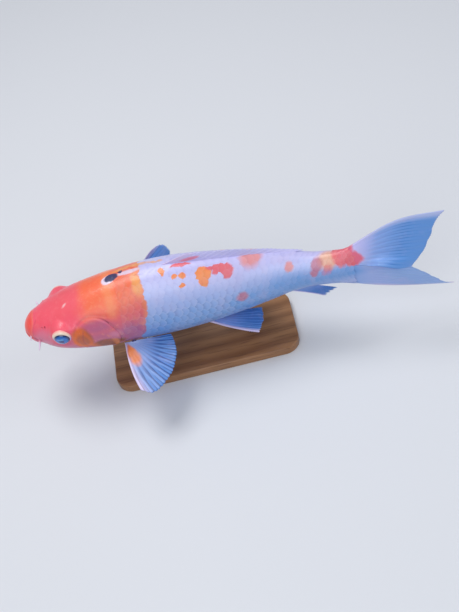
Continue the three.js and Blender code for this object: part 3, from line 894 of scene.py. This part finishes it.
def ridgeRoots():  # one row over the back and one under the belly, with the angle of each
    roots = []
    share = scales["ridgeFirst"]
    while share < scales["last"]:
        if share < scales["ridgeGap"][0] or share > scales["ridgeGap"][1]:
            roots.append((share, halfArc(share, 0.0), 0, 0.0))
        roots.append((share + 0.004, halfArc(share, math.pi), 0, math.pi))
        share += scales["pitch"] * float(scales["growth"](share)) / koi["length"]
    return roots


def makeScales(finish):
    template = flatSlab(scales["columns"], scales["rows"])
    for brink in template.edges:
        brink.smooth = brink.calc_face_angle() < 1
    bmesh.ops.translate(template, vec=(0, -0.5, 0), verts=template.verts)
    along, across, deep = flatPlaces(template).T
    flat = makeMesh("scale", template)
    outline = np.sqrt(np.maximum(0, 1 - np.clip((along - 0.35) / 0.65, 0, 1) ** 2 * 0.985))
    outline *= 0.72 + 0.28 * smoothStep(along, 0, 0.35)
    across = across * 2 * outline
    pore = scales["pore"] * hump(across, 0.16) * smoothStep(along, 0.45, 0.6) * (deep > -0.5)
    middle = np.argmin((along - 0.72) ** 2 + across**2 + deep**2)

    def shapeScale(share, distance, row, ridge, jitter, sign):
        growth = float(scales["growth"](share))
        length = scales["length"] * scales["pitch"] * growth * (1 + scales["uneven"] * jitter[0])
        width = scales["width"] * scales["rowGap"] * growth * (1 + scales["uneven"] * jitter[1]) / 2
        atShare = share + along * length / koi["length"] + scales["strayAlong"] * jitter[2]
        if ridge is None:
            stretch = scales["growth"](atShare) / growth
            atDistance = distance * stretch + across * width + scales["strayAcross"] * jitter[3]
        else:
            ends = [share, share + 0.06]
            edge = np.interp(atShare, ends, [halfArc(end, ridge) for end in ends])
            atDistance = edge + across * width
        inShare, angle = np.minimum(atShare, 1.0), angleAt(atShare, atDistance) * sign
        surface = bodyPoints(inShare, angle)
        surface[:, 0] = atShare * koi["length"]
        surface[:, 1] *= 1 - np.maximum(0, atShare - 1) * scales["tailTaper"]
        early = float(smoothStep(share, 0.26, scales["full"]))
        tilt = scales["tilt"] * along * (0.3 + 0.7 * growth) * (0.4 + 0.6 * early)
        lift = -skin["coatDepth"] + scales["bed"] + tilt
        lift -= scales["droop"] * across**2 * smoothStep(along, 0.2, 0.7)
        if ridge is not None:
            lift += scales["ridgeLift"]
        elif row == 0:
            lift += pore
        lift += deep * scales["thickness"]
        return surface + bodyNormals(inShare, angle) * lift[:, None]

    rng = np.random.default_rng(scales["seed"])
    roots, ridges = scaleRoots(), ridgeRoots()
    for side, sign, rows in (("left", -1, roots), ("right", 1, roots + ridges)):
        bm = bmesh.new()
        straight, tips, leaves, places = [], [], [], []
        for root in rows:
            one = shapeScale(*root, rng.normal(0, 1, 4), sign)
            bm.from_mesh(flat)
            straight.append(one)
            tips.append(one[middle] * 0.25 + one * 0.75)  # a scale's colour varies little over it
            leaves.append(joined(along, across, rng.random()))
            share, distance = (np.array([part]) for part in root[:2])
            u = np.clip(np.interp(share, skinShares, skinColumns), 0.002, 0.998)
            v = (angleAt(share, distance) * sign / (2 * math.pi) + 0.5) % 1.0
            places.append(joined(u + (along - 0.5) * 0.003, v + across * 0.0015))
        bm.verts.ensure_lookup_table()
        bm.verts.index_update()
        straight, tips, leaves, places = map(np.concatenate, (straight, tips, leaves, places))
        places = np.clip(places, 0.0005, 0.9995)
        values = {"places": places, "unbent": tips, "leaf": leaves}
        finishBent("scales_" + side, bm, straight, finish, "pale_skin", **values)


finLooks = {  # what the fins share, in metres; each fin's own values go before these
    "membrane": 0.00022,  # half thickness between the rays
    "ray": 0.00034,
    "root": 0.0014,
    "lead": 0.0007,  # more on the leading edge
    "fan": 0.00034,  # how far the web is pleated between the rays
    "ripple": 0.0,  # how far the whole web waves
    "tailRoot": 0.0,  # half thickness of the tail's root at its middle
    "tailFade": 0.2,
}
dorsal = {  # shares of the length
    "start": 0.44,
    "base": 0.365,
    "sweep": 0.09,  # how far back the first ray reaches
    "upright": 0.035,  # by how much less the last ray does
    "sunk": 0.006,
    "lean": 0.008,
    "height": smoothCurve([0, 0.3, 0.65, 1], [0.024, 0.021, 0.011, 0.005]),
    "rays": 15,
    "forks": [(0.4, 0.25)],  # part of a ray where it parts, and the half gap between its branches
    "rows": 18,
    "relief": 0.35,
    "ragged": 0.05,
    "ripple": 0.0008,
}
anal = {
    "start": 0.78,
    "base": 0.07,
    "sweep": 0.13,
    "upright": 0.03,
    "sunk": 0.006,
    "lean": -0.006,
    "drop": (0.038, 0.026),  # of the first ray, and how much less at the last
    "rays": 8,
    "forks": [(0.3, 0.25)],
    "rows": 24,
    "relief": 0.6,
    "ragged": 0.05,
}


def sweptShare(fin, s, t):
    return fin["start"] + fin["base"] * s + (fin["sweep"] - fin["upright"] * s) * t


def dorsalPlace(s, t):
    share = sweptShare(dorsal, s, t)
    height = topHeight(share) - dorsal["sunk"] * (1 - t) + dorsal["height"](s) * t
    return joined(share, dorsal["lean"] * t * t, height) * koi["length"]


def analPlace(s, t):
    share = sweptShare(anal, s, t)
    drop = (anal["drop"][0] - anal["drop"][1] * s) * t**0.8
    height = anal["sunk"] * (1 - t) - bottomDepth(share) - drop
    return joined(share, anal["lean"] * t, height) * koi["length"]


tail = {  # both lobes, in shares of the length
    "share": 1.0,
    "sunk": 0.012,  # how far the root reaches into the stem
    "split": 0.01,  # height where the lobes part
    "top": 0.0675,
    "bottom": -0.0535,
    "tuck": 0.0055,  # how far the lobes' edges start within the stem's
    "fold": 0.009,  # height of the S in the crease between the lobes
    "foldTurns": (5.6, 1.2),  # radians of that S over the lobe's length, and its start
    "rays": 9,
    "forks": [(0.2, 0.25), (0.6, 0.125)],
    "rows": 60,
    "relief": 0.5,
    "ragged": 0.012,
    "tailRoot": 0.0036,
}
lobeSteps = [0, 0.15, 0.45, 0.75, 1]
upperLobe = {
    **tail,
    "edge": tail["top"] - tail["tuck"],
    "reach": smoothCurve(lobeSteps, [1.277, 1.25, 1.23, 1.203, 1.165]),
    "height": smoothCurve(lobeSteps, [0.148, 0.121, 0.073, 0.025, -0.016]),
    "bow": 0.036,
    "away": 0,
    "lap": 0.006,
    "curl": 0.014,
}
lowerLobe = {
    **tail,
    "edge": tail["bottom"] + tail["tuck"],
    "reach": smoothCurve(lobeSteps, [1.287, 1.262, 1.232, 1.2, 1.165]),
    "height": smoothCurve(lobeSteps, [-0.136, -0.12, -0.085, -0.049, -0.0175]),
    "bow": -0.002,
    "away": 0.03,
    "lap": -0.006,
    "curl": -0.004,
}


def lobePlace(lobe):
    turns, start = lobe["foldTurns"]

    def place(s, t):
        root = lobe["edge"] + (lobe["split"] - lobe["edge"]) * s
        share = lobe["share"] - lobe["sunk"] * (1 - t) ** 4
        share = share + (lobe["reach"](s) - lobe["share"]) * t
        belly = np.sin(math.pi * np.clip(t, 0, 1))
        swell = belly * (1 - s)
        height = root + (lobe["height"](s) - root) * t + lobe["bow"] * swell
        inner = smoothStep(s, 0.72, 1) * smoothStep(t, 0.2, 0.45)
        fold = lobe["fold"] * np.sin(turns * t - start) * (1 - t) * 2
        height = height + inner * (fold - lobe["lap"] * (1 - t))
        across = lobe["away"] * swell - inner * lobe["curl"] * belly
        return joined(share, across, height) * koi["length"]

    return place


pectoral = {
    "rootFront": (0.282, -0.087, -0.07),
    "rootRear": (0.31, -0.092, -0.062),
    "leadRay": (0.13, -1.05, -0.29),
    "trailRay": (0.93, 0.05, -0.17),
    "rayLength": smoothCurve([0, 0.12, 0.45, 1], [0.164, 0.188, 0.163, 0.112]),
    "bow": 0.05,
    "cup": 0.008,
    "curl": 0.007,
    "rays": 13,
    "forks": [(0.55, 0.22)],
    "rows": 48,
    "relief": 0.5,
    "ragged": 0.014,
    "ripple": 0.0012,
    "lead": 0.0009,
}
raisedPectoral = {
    **pectoral,
    "leadRay": (0.69, -1, 0.05),
    "trailRay": (0.77, -0.28, -0.26),
    "bow": 0.035,
    "cup": 0.05,
    "curl": 0.075,
}
pelvic = {
    "rootFront": (0.54, -0.052, -0.1),
    "rootRear": (0.583, -0.028, -0.11),
    "leadRay": (0.95, -0.38, -0.16),
    "trailRay": (1, 0.03, -0.03),
    "rayLength": smoothCurve([0, 0.3, 1], [0.165, 0.16, 0.125]),
    "bow": 0.04,
    "cup": 0.006,
    "curl": 0.004,
    "rays": 9,
    "forks": [(0.3, 0.25)],
    "rows": 36,
    "relief": 0.5,
    "ragged": 0.018,
    "ripple": 0.001,
}


def pairedPlace(fin, side):
    lead, trail = unit(fin["leadRay"]), unit(fin["trailRay"])
    hinge = unit(np.cross(lead, trail))
    spread = math.acos(float(lead @ trail))
    front, rear = (np.array(fin[key]) * koi["length"] for key in ("rootFront", "rootRear"))

    def place(s, t):
        turn = (spread * s)[:, None]
        ray = lead * np.cos(turn) + np.cross(hinge, lead) * np.sin(turn)
        length = fin["rayLength"](s) * koi["length"]
        lift = koi["length"] * t * t * (fin["cup"] * np.sin(math.pi * s) + fin["curl"])
        bow = fin["bow"] * length * 4 * t * (1 - t) * (1 - s)
        straight = front + (rear - front) * s[:, None] + ray * (length * t)[:, None]
        straight += np.cross(ray, hinge) * bow[:, None] + hinge * lift[:, None]
        return straight * [1, side, 1]

    return place


def raySplit(s, t, rays, forks):  # 1 along each ray, 0 between; each fork parts a ray in two
    away = np.abs(s * (rays - 1) - np.round(s * (rays - 1)))
    for start, spread in forks:
        away = np.abs(away - spread * smoothStep(t, start, start + 0.3))
    return hump(away, 0.2 - 0.08 * t)


def makeFin(name, place, finish, fin):
    fin = {**finLooks, **fin}
    rays, forks, relief, ragged = (fin[key] for key in ("rays", "forks", "relief", "ragged"))
    bm = flatSlab((rays - 1) * 6 * 2 ** len(forks), fin["rows"])
    s, t, side = flatPlaces(bm).T
    side = side * 2 + 1
    reach = 1 - ragged * (1 - raySplit(s, np.ones_like(s), rays, forks))
    reach -= ragged * 0.5 * (1 + np.sin(s * 23.0 + 1.3)) * np.sin(math.pi * s)
    out = t * reach
    ridge = raySplit(s, t, rays, forks)
    nudge = 1e-3
    alongBase = place(np.minimum(s + nudge, 1), out) - place(np.maximum(s - nudge, 0), out)
    alongRay = place(s, out + nudge) - place(s, np.maximum(out - nudge, 0))
    normals = unit(np.cross(alongBase, alongRay))
    rising = smoothStep(t, 0.08, 0.5)
    half = fin["membrane"] + fin["ray"] * relief * ridge * (1 - 0.5 * t) * rising
    stem = fin["tailRoot"] * np.sqrt(1 - (1 - s) ** 2) * hump(t, fin["tailFade"])
    half += fin["root"] * (1 - t) ** 4 + stem
    half += fin["lead"] * np.maximum(0, 1 - (s * (rays - 1) / 0.8) ** 2) * (1 - 0.75 * t)
    pleat = np.cos(2 * math.pi * s * (rays - 1)) * rising * fin["fan"] * relief
    wave = fin["ripple"] * np.sin(s * 9 + t * 3) * t * t
    straight = place(s, out) + normals * (half * side + pleat + wave)[:, None]
    places = joined(s * 0.98 + 0.01, (t * 0.49 + 0.005) + (side < 0) * 0.5)
    values = {"places": places, "unbent": straight, "vane": joined(s, t, ridge)}
    finishBent(name + "_web", bm, straight, finish, "fin", [name], **values)


# the fins' blue, deepest at the margins and between the rays, is painted blue water light through the
# thin web, over their own pale tint
finTints = {  # root, margin, along the rays, between the rays, leading edge
    "pale": [(160, 180, 234), (50, 110, 188), (112, 160, 226), (30, 86, 166), (232, 212, 242)],
    "folded": [(206, 200, 246), (196, 194, 244), (218, 212, 250), (172, 168, 222), (220, 204, 242)],
    "tail": [(170, 188, 242), (64, 136, 214), (140, 184, 246), (62, 122, 204), (206, 212, 250)],
    "lower": [(172, 184, 234), (128, 168, 226), (172, 192, 240), (110, 148, 214), (222, 206, 226)],
}


# a stain is the part of the root's length, the part of the rays' length, its colour and strength
def finFinish(name, tints, contrast, clearness, stains=(), marks=(), blend=0.0):
    f = Finish(name)
    root, margin, ray, gap, lead = (tint(*shade) for shade in finTints[tints])
    s, t, ridge = f.parts(f.attribute("vane"))
    place = f.attribute("unbent")
    cloud = f.noise(place, 60, 3)
    # painted water light: the web bluer between the rays and towards the margin
    between = (1 - f.fade(ridge, 0.0, 0.2)) * f.fade(t, 0.4, 0.85)
    colour = f.mix(f.fade(t, 0.0, 0.8), root, margin)
    colour = f.mix(f.fade(ridge, 0.05, 0.6) * f.fade(t, 0.05, 0.4) * 0.6 * contrast, colour, ray)
    colour = f.mix(between * 0.7 * contrast, colour, gap)
    colour = f.mix((1 - f.fade(s, 0.01, 0.14)) * 0.8, colour, lead)
    for (s0, s1), (t0, t1), shade, strength in stains:
        across = (s - (s0 + s1) / 2) / ((s1 - s0) / 2)
        along = (t - (t0 + t1) / 2) / ((t1 - t0) / 2)
        inside = 1 - f.fade(across * across + along * along + (cloud - 0.5) * 1.2, 0.4, 1.5)
        colour = f.mix(inside * strength, colour, shade)
    colour = f.mix(f.fade(cloud, 0.5, 0.8) * 0.2, colour, tint(206, 190, 236))
    if blend:  # the body's colour, with the painted shade of its lower flank, runs into the root
        x, y, z = f.parts(place)
        body = f.ramp(bodyLevel(x / koi["length"], z), levels["white"])
        colour = f.mix(f.fade(t, 0.03, blend), body, colour)
    for mark, shade in marks:
        rough = f.shake(place, 90, 3, 0.01)
        colour = f.mix(spotMask(f, rough, spots[mark], 0.2) * 0.9, colour, shade)
    joints = f.waves(f.attribute("vane"), {"bands_direction": "Y"}, {"Scale": 14.0, "Distortion": 0.4})
    relief = f.bump(joints * ridge, 0.16 * contrast, 0.0003)
    flesh = (0.15, (0.002, 0.002, 0.003))
    roughness, alpha = 0.34 + cloud * 0.12, 1 - between * clearness
    return f.done(colour, roughness, (0.25, 0.15), flesh, Alpha=alpha, Normal=relief)


def eyeFrame(points, sign):  # from the eye's own frame (x forward, y up, z outward)
    straight = eyeCentre + points[:, :1] * eyeFront + points[:, 1:2] * eyeUp + points[:, 2:] * eyeLook
    return straight * [1, sign, 1]


def makeEyes(eyeball, lid):
    for side, sign in (("left", 1), ("right", -1)):
        bm = bmesh.new()
        bmesh.ops.create_uvsphere(bm, u_segments=64, v_segments=40, radius=1)
        ball = flatPlaces(bm)
        straight = eyeFrame(ball * [eye["radius"], eye["radius"], eye["bulge"]], sign)
        finishBent("eyeball_" + side, bm, straight, eyeball, "eye", ["eye_" + side], gaze=ball)
        bm = flatSheet(96, 20)
        places = flatPlaces(bm)[:, :2]
        turn, around = places.T * 2 * math.pi
        upper = np.sin(turn)
        radius = eye["rimRadius"] + eye["rimLonger"] * upper
        radius += eye["rimWidth"] * np.cos(around) * (1 + eye["rimUpper"] * upper)
        height = eye["rimHeight"] * np.sin(around) * (1 + eye["rimUpperHeight"] * upper)
        height = height + eye["rimLift"][0] + eye["rimLift"][1] * upper
        fall = eye["rimDropUpper"] * (1 + upper)
        height -= eye["rimDrop"] * np.maximum(0, np.cos(around)) ** 2 * fall
        ring = joined(radius * np.cos(turn), radius * np.sin(turn), height)
        straight = eyeFrame(ring, sign)
        values = {"unbent": straight, "gaze": ring / eye["rimRadius"]}
        finishBent("eye_rim_" + side, bm, straight, lid, "red_skin", (), 1e-7, places, **values)


def eyeballFinish():
    f = Finish("koi_eye")
    x, y, z = f.parts(f.attribute("gaze"))
    reach = f.length(x, y)
    turn = f.node("ShaderNodeMath", {"operation": "ARCTAN2"}, {0: y, 1: x})
    spokes = f.noise(f.join(turn * 7, reach * 2), 1.6, 3)
    # painted reflection: the pupil's deep blue and much of the iris's blue stand for sky and water
    # mirrored in the eye, over its own darker colours
    iris = f.mix(spokes, tint(8, 84, 176), tint(28, 126, 214))
    iris = f.mix(f.fade(reach, 0.66, 0.9), iris, tint(14, 44, 96))
    pupil = f.length(x + 0.04, y + 0.02)
    colour = f.mix(1 - f.fade(pupil, 0.26, 0.44), iris, tint(6, 48, 122))
    # painted reflection: a light-blue streak of sky across the upper part of the eye
    skyGlint = f.fade(y, 0.12, 0.26) * (1 - f.fade(y, 0.36, 0.5))
    skyGlint = skyGlint * (1 - f.fade(abs(x + 0.1), 0.2, 0.55))
    colour = f.mix(skyGlint * 0.65, colour, tint(112, 178, 230))
    return f.done(colour, 0.08 + spokes * 0.04, (1.0, 0.015))


def lidFinish():
    f = Finish("koi_eye_rim")
    x, y, z = f.parts(f.attribute("gaze"))
    speck = f.noise(f.attribute("unbent"), 300, 3)
    colour = f.mix(f.fade(y, -0.3, 0.7), tint(196, 172, 226), tint(255, 234, 210))
    outer = f.fade(f.length(x, y) - y * 0.12, 1.02, 1.2)
    cheek = f.mix(f.fade(y, -0.6, 0.4), tint(214, 126, 164), tint(255, 118, 124))
    colour = f.mix(outer * 0.8, colour, cheek)
    colour = f.mix(f.fade(speck, 0.4, 0.75) * 0.15, colour, tint(250, 160, 150))
    return f.done(colour, 0.3 + speck * 0.1, (0.4, 0.1), Normal=f.bump(speck, 0.3, 0.0003))


barbels = {  # share, degrees from the back, back, out and down in metres, radius, side
    "barbel_left_front": (0.02, 84, (-0.002, 0.006, 0.004), 0.0011, 1),
    "barbel_right_front": (0.02, 84, (-0.002, 0.006, 0.004), 0.0011, -1),
    "barbel_left_rear": (0.042, 100, (-0.003, 0.013, 0.006), 0.0015, 1),
    "barbel_right_rear": (0.044, 96, (-0.004, 0.015, -0.005), 0.0015, -1),
}
barbelRoot = {
    "sunk": 0.0025,  # metres under the skin
    "out": 0.0005,
    "wider": 0.5,  # how much thicker it is than the rest, and over which part of the length
    "fade": 0.25,
}


def makeBarbels(finish):
    for name, (share, degrees, (back, out, down), size, side) in barbels.items():
        root = bodyPoints(share, math.radians(-degrees)) + np.array([0, barbelRoot["sunk"], 0])
        tip = root + np.array([back, -out - barbelRoot["out"], -down])
        knee = (root + tip) / 2 + np.array([-back * 0.25, -out * 0.2, down * 0.15])
        bm = flatSheet(28, 20)
        places = flatPlaces(bm)
        t, turn = places[:, :1], places[:, 1:2] * 2 * math.pi
        centre = root * (1 - t) ** 2 + knee * 2 * t * (1 - t) + tip * t * t
        tangent = unit((knee - root) * (1 - t) + (tip - knee) * t)
        first = unit(np.cross(tangent, [1, 0, 0]))
        second = np.cross(tangent, first)
        girth = size * (1 + barbelRoot["wider"] * hump(t, barbelRoot["fade"]) - 0.5 * t)
        girth = girth * np.sqrt(np.maximum(0, 1 - np.clip((t - 0.9) / 0.1, 0, 1) ** 2)) * (t > 0)
        straight = centre + (first * np.cos(turn) + second * np.sin(turn)) * girth
        straight, flat = straight * [1, side, 1], places[:, :2]
        finishBent(name + "_soft", bm, straight, finish, "barbel", [name], 1e-7, flat, vane=places)


def barbelFinish():
    f = Finish("koi_barbel")
    speck = f.noise(f.attribute("vane"), 9, 3)
    along = f.parts(f.attribute("vane"))[0]
    colour = f.mix(f.fade(along, 0.0, 0.4), tint(246, 120, 132), tint(232, 216, 240))
    colour = f.mix(speck * 0.2, colour, tint(240, 160, 170))
    return f.done(colour, 0.3 + speck * 0.15, (0.4,), Normal=f.bump(speck, 0.3, 0.0003))


stand = {
    "corner": 0.022,
    "cornerSegments": 14,
    "baseEdge": 0.0022,
    "edgeSegments": 4,
    "footEdge": 0.0008,
    "rodRadius": 0.0035,
    "rodSides": 40,
    "rodInside": 0.006,  # how far a rod runs on under the skin
    "collarRadius": 0.008,
    "collarHeight": 0.004,
    "collarRound": 0.0012,
    "collarSunk": 0.0003,
}


def woodFinish():
    f = Finish("stand_wood")
    place = f.node("ShaderNodeTexCoord", out="Object")
    sockets = {"Scale": 17.0, "Distortion": f.stretched(place, (4, 14, 14), 2) * 34}
    sockets.update({"Detail": 1.0, "Detail Scale": 0.1})
    rings = f.waves(place, {"bands_direction": "Y"}, sockets)
    pores = f.stretched(place, (26, 620, 620), 3)
    colour = f.mix(rings, tint(134, 90, 56), tint(162, 114, 74))
    colour = f.mix(f.fade(pores, 0.52, 0.68) * 0.45, colour, tint(84, 52, 32))
    return f.done(colour, 0.36 + rings * 0.1, (0.2,), Normal=f.bump(pores, 0.3, 0.0003))


def steelFinish():
    f = Finish("stand_steel")
    brush = f.stretched(f.node("ShaderNodeTexCoord", out="Object"), (900, 900, 14), 2)
    colour = f.mix(brush, tint(176, 178, 182), tint(206, 208, 212))
    return f.done(colour, 0.22 + brush * 0.14, Metallic=1.0, Normal=f.bump(brush, 0.12, 0.0001))


def boxCorners(name):
    return [Vector(corner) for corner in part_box(name)]


def makeBoard(finish):
    low, high = boxCorners("stand_base")
    bm = bmesh.new()
    bmesh.ops.create_cube(bm, size=1)
    bmesh.ops.scale(bm, vec=high - low, verts=bm.verts)
    bmesh.ops.translate(bm, vec=(low + high) / 2, verts=bm.verts)

    def roundEdges(edges, size, segments):
        shape = {"affect": "EDGES", "segments": segments, "profile": 0.5, "material": -1}
        bmesh.ops.bevel(bm, geom=edges, offset=size, **shape)

    def edgesAt(height):
        level = [edge for edge in bm.edges if all(abs(v.co.z - height) < 1e-5 for v in edge.verts)]
        return [edge for edge in level if edge.calc_face_angle() > 1]

    upright = [edge for edge in bm.edges if abs(edge.verts[0].co.z - edge.verts[1].co.z) > 0.001]
    roundEdges(upright, stand["corner"], stand["cornerSegments"])
    roundEdges(edgesAt(high.z), stand["baseEdge"], stand["edgeSegments"])
    roundEdges(edgesAt(low.z), stand["footEdge"], 2)
    for edge in bm.edges:
        edge.smooth = edge.calc_face_angle() < 0.3
    finishPiece("stand_board", bm, finish, ["stand_base"])


def makePost(end, finish):
    low, high = boxCorners("stand_rod_" + end)
    middle = (low + high) / 2
    collar, top, small = stand["collarRadius"], stand["collarHeight"], stand["collarRound"]
    rod, tip = stand["rodRadius"], high.z - low.z + stand["rodInside"]
    rings = [  # radius and height
        (0.0, 0.0),
        (collar, 0.0),
        (collar, top - small),
        (collar - small * 0.3, top - small * 0.3),
        (collar - small, top),
        (rod + small, top),
        (rod, top + small),
        (rod, tip),
        (0.0, tip),
    ]
    bm = bmesh.new()
    verts = [bm.verts.new((radius, 0, height)) for radius, height in rings]
    edges = [bm.edges.new(pair) for pair in zip(verts[:-1], verts[1:])]
    turn = {"cent": (0, 0, 0), "axis": (0, 0, 1), "angle": 2 * math.pi, "use_merge": True}
    bmesh.ops.spin(bm, geom=verts + edges, steps=stand["rodSides"], **turn)
    bmesh.ops.remove_doubles(bm, verts=bm.verts, dist=1e-6)
    bmesh.ops.translate(bm, vec=(middle.x, middle.y, low.z - stand["collarSunk"]), verts=bm.verts)
    finishPiece("stand_post_" + end, bm, finish, ["stand_rod_" + end])


room = {
    "floorHalf": 6.0,
    "floorTints": (tint(226, 228, 232), tint(216, 218, 224)),
    "sky": (0.86, 0.9, 1.0, 1),
    "skyStrength": 0.36,
    "aim": (0.05, 0, 0.1),
    "lamps": {  # place, size in metres, watts, colour
        "key": ((-0.35, 0.5, 1.9), 1.0, 18, (1.0, 1.0, 1.0)),
        "fill": ((-0.35, -1.35, 1.45), 1.4, 11, (0.94, 0.97, 1.0)),
        "side": ((1.5, -0.4, 1.3), 1.2, 6, (0.96, 0.97, 1.0)),
    },
}
view = {
    "elevation": 49.2,
    "azimuth": 3.3,
    "roll": -16.4,
    "distance": 2.981,  # this and the offsets in lengths of the fish
    "right": -0.128,
    "up": 0.057,
    "lens": 58.8,
}


def makeRoom():
    bm = bmesh.new()
    bmesh.ops.create_grid(bm, x_segments=1, y_segments=1, size=room["floorHalf"])
    mesh = makeMesh("floor", bm)
    f = Finish("floor")
    place = f.node("ShaderNodeTexCoord", out="Object")
    mesh.materials.append(f.done(f.mix(f.noise(place, 3, 2) * 0.2, *room["floorTints"]), 0.75))
    addObject("floor", mesh)
    world = bpy.data.worlds.new("studio")
    world.use_nodes = True
    sky = world.node_tree.nodes["Background"].inputs
    sky["Color"].default_value, sky["Strength"].default_value = room["sky"], room["skyStrength"]
    bpy.context.scene.world = world
    for name, (spot, size, watts, colour) in room["lamps"].items():
        light = bpy.data.lights.new(name, "AREA")
        light.size, light.energy, light.color = size, watts, colour
        aim = Vector(room["aim"]) - Vector(spot)
        turned = aim.to_track_quat("-Z", "Y").to_matrix().to_4x4()
        addObject(name, light).matrix_world = Matrix.Translation(spot) @ turned
    print("room")


def makeCamera():
    e, a, r = (math.radians(view[key]) for key in ("elevation", "azimuth", "roll"))
    back = Vector((math.sin(a) * math.cos(e), -math.cos(a) * math.cos(e), math.sin(e)))
    level = Vector((math.cos(a), math.sin(a), 0))
    rising = back.cross(level)
    right = level * math.cos(r) + rising * math.sin(r)
    up = rising * math.cos(r) - level * math.sin(r)
    middle = Vector((koi["pivotShare"] - pivotX, -pivotY, koi["axisHeight"] / koi["length"]))
    place = (middle + back * view["distance"] - right * view["right"] - up * view["up"]) * koi["length"]
    lens = bpy.data.cameras.new("camera")
    lens.lens = view["lens"]
    camera = addObject("camera", lens)
    camera.matrix_world = Matrix.Translation(place) @ Matrix((right, up, back)).transposed().to_4x4()
    bpy.context.scene.camera = camera
    bpy.context.scene.view_settings.view_transform = "Standard"
    print("camera")


makeCamera()
makeRoom()
makeSkin(skinFinish())
makeScales(scaleFinish())
paleWeb = finFinish("koi_fin", "pale", 0.8, 0.3)
redStain = ((0.1, 0.22), (0.2, 0.7), tint(236, 120, 140), 0.8)
foldedWeb = finFinish("koi_dorsal", "folded", 0.4, 0.0, [redStain])
orangeStain = ((0.03, 0.36), (0.04, 0.46), tint(236, 122, 24), 1.0)
pectoralWeb = finFinish("koi_pectoral", "pale", 1.0, 0.4, [orangeStain])
makeFin("dorsal_fin", dorsalPlace, foldedWeb, dorsal)
makeFin("anal_fin", analPlace, paleWeb, anal)
for lobe, tints, shape in (("upper", "tail", upperLobe), ("lower", "lower", lowerLobe)):
    web = finFinish("koi_" + tints, tints, 0.6, 0.25, marks=[("red", tint(238, 96, 118))], blend=0.34)
    makeFin("caudal_fin_" + lobe, lobePlace(shape), web, shape)
for side, sign, shape in (("left", 1, pectoral), ("right", -1, raisedPectoral)):
    makeFin("pectoral_fin_" + side, pairedPlace(shape, sign), pectoralWeb, shape)
    makeFin("pelvic_fin_" + side, pairedPlace(pelvic, sign), paleWeb, pelvic)
makeEyes(eyeballFinish(), lidFinish())
makeBarbels(barbelFinish())
makeBoard(woodFinish())
postFinish = steelFinish()
for end in ("front", "rear"):
    makePost(end, postFinish)
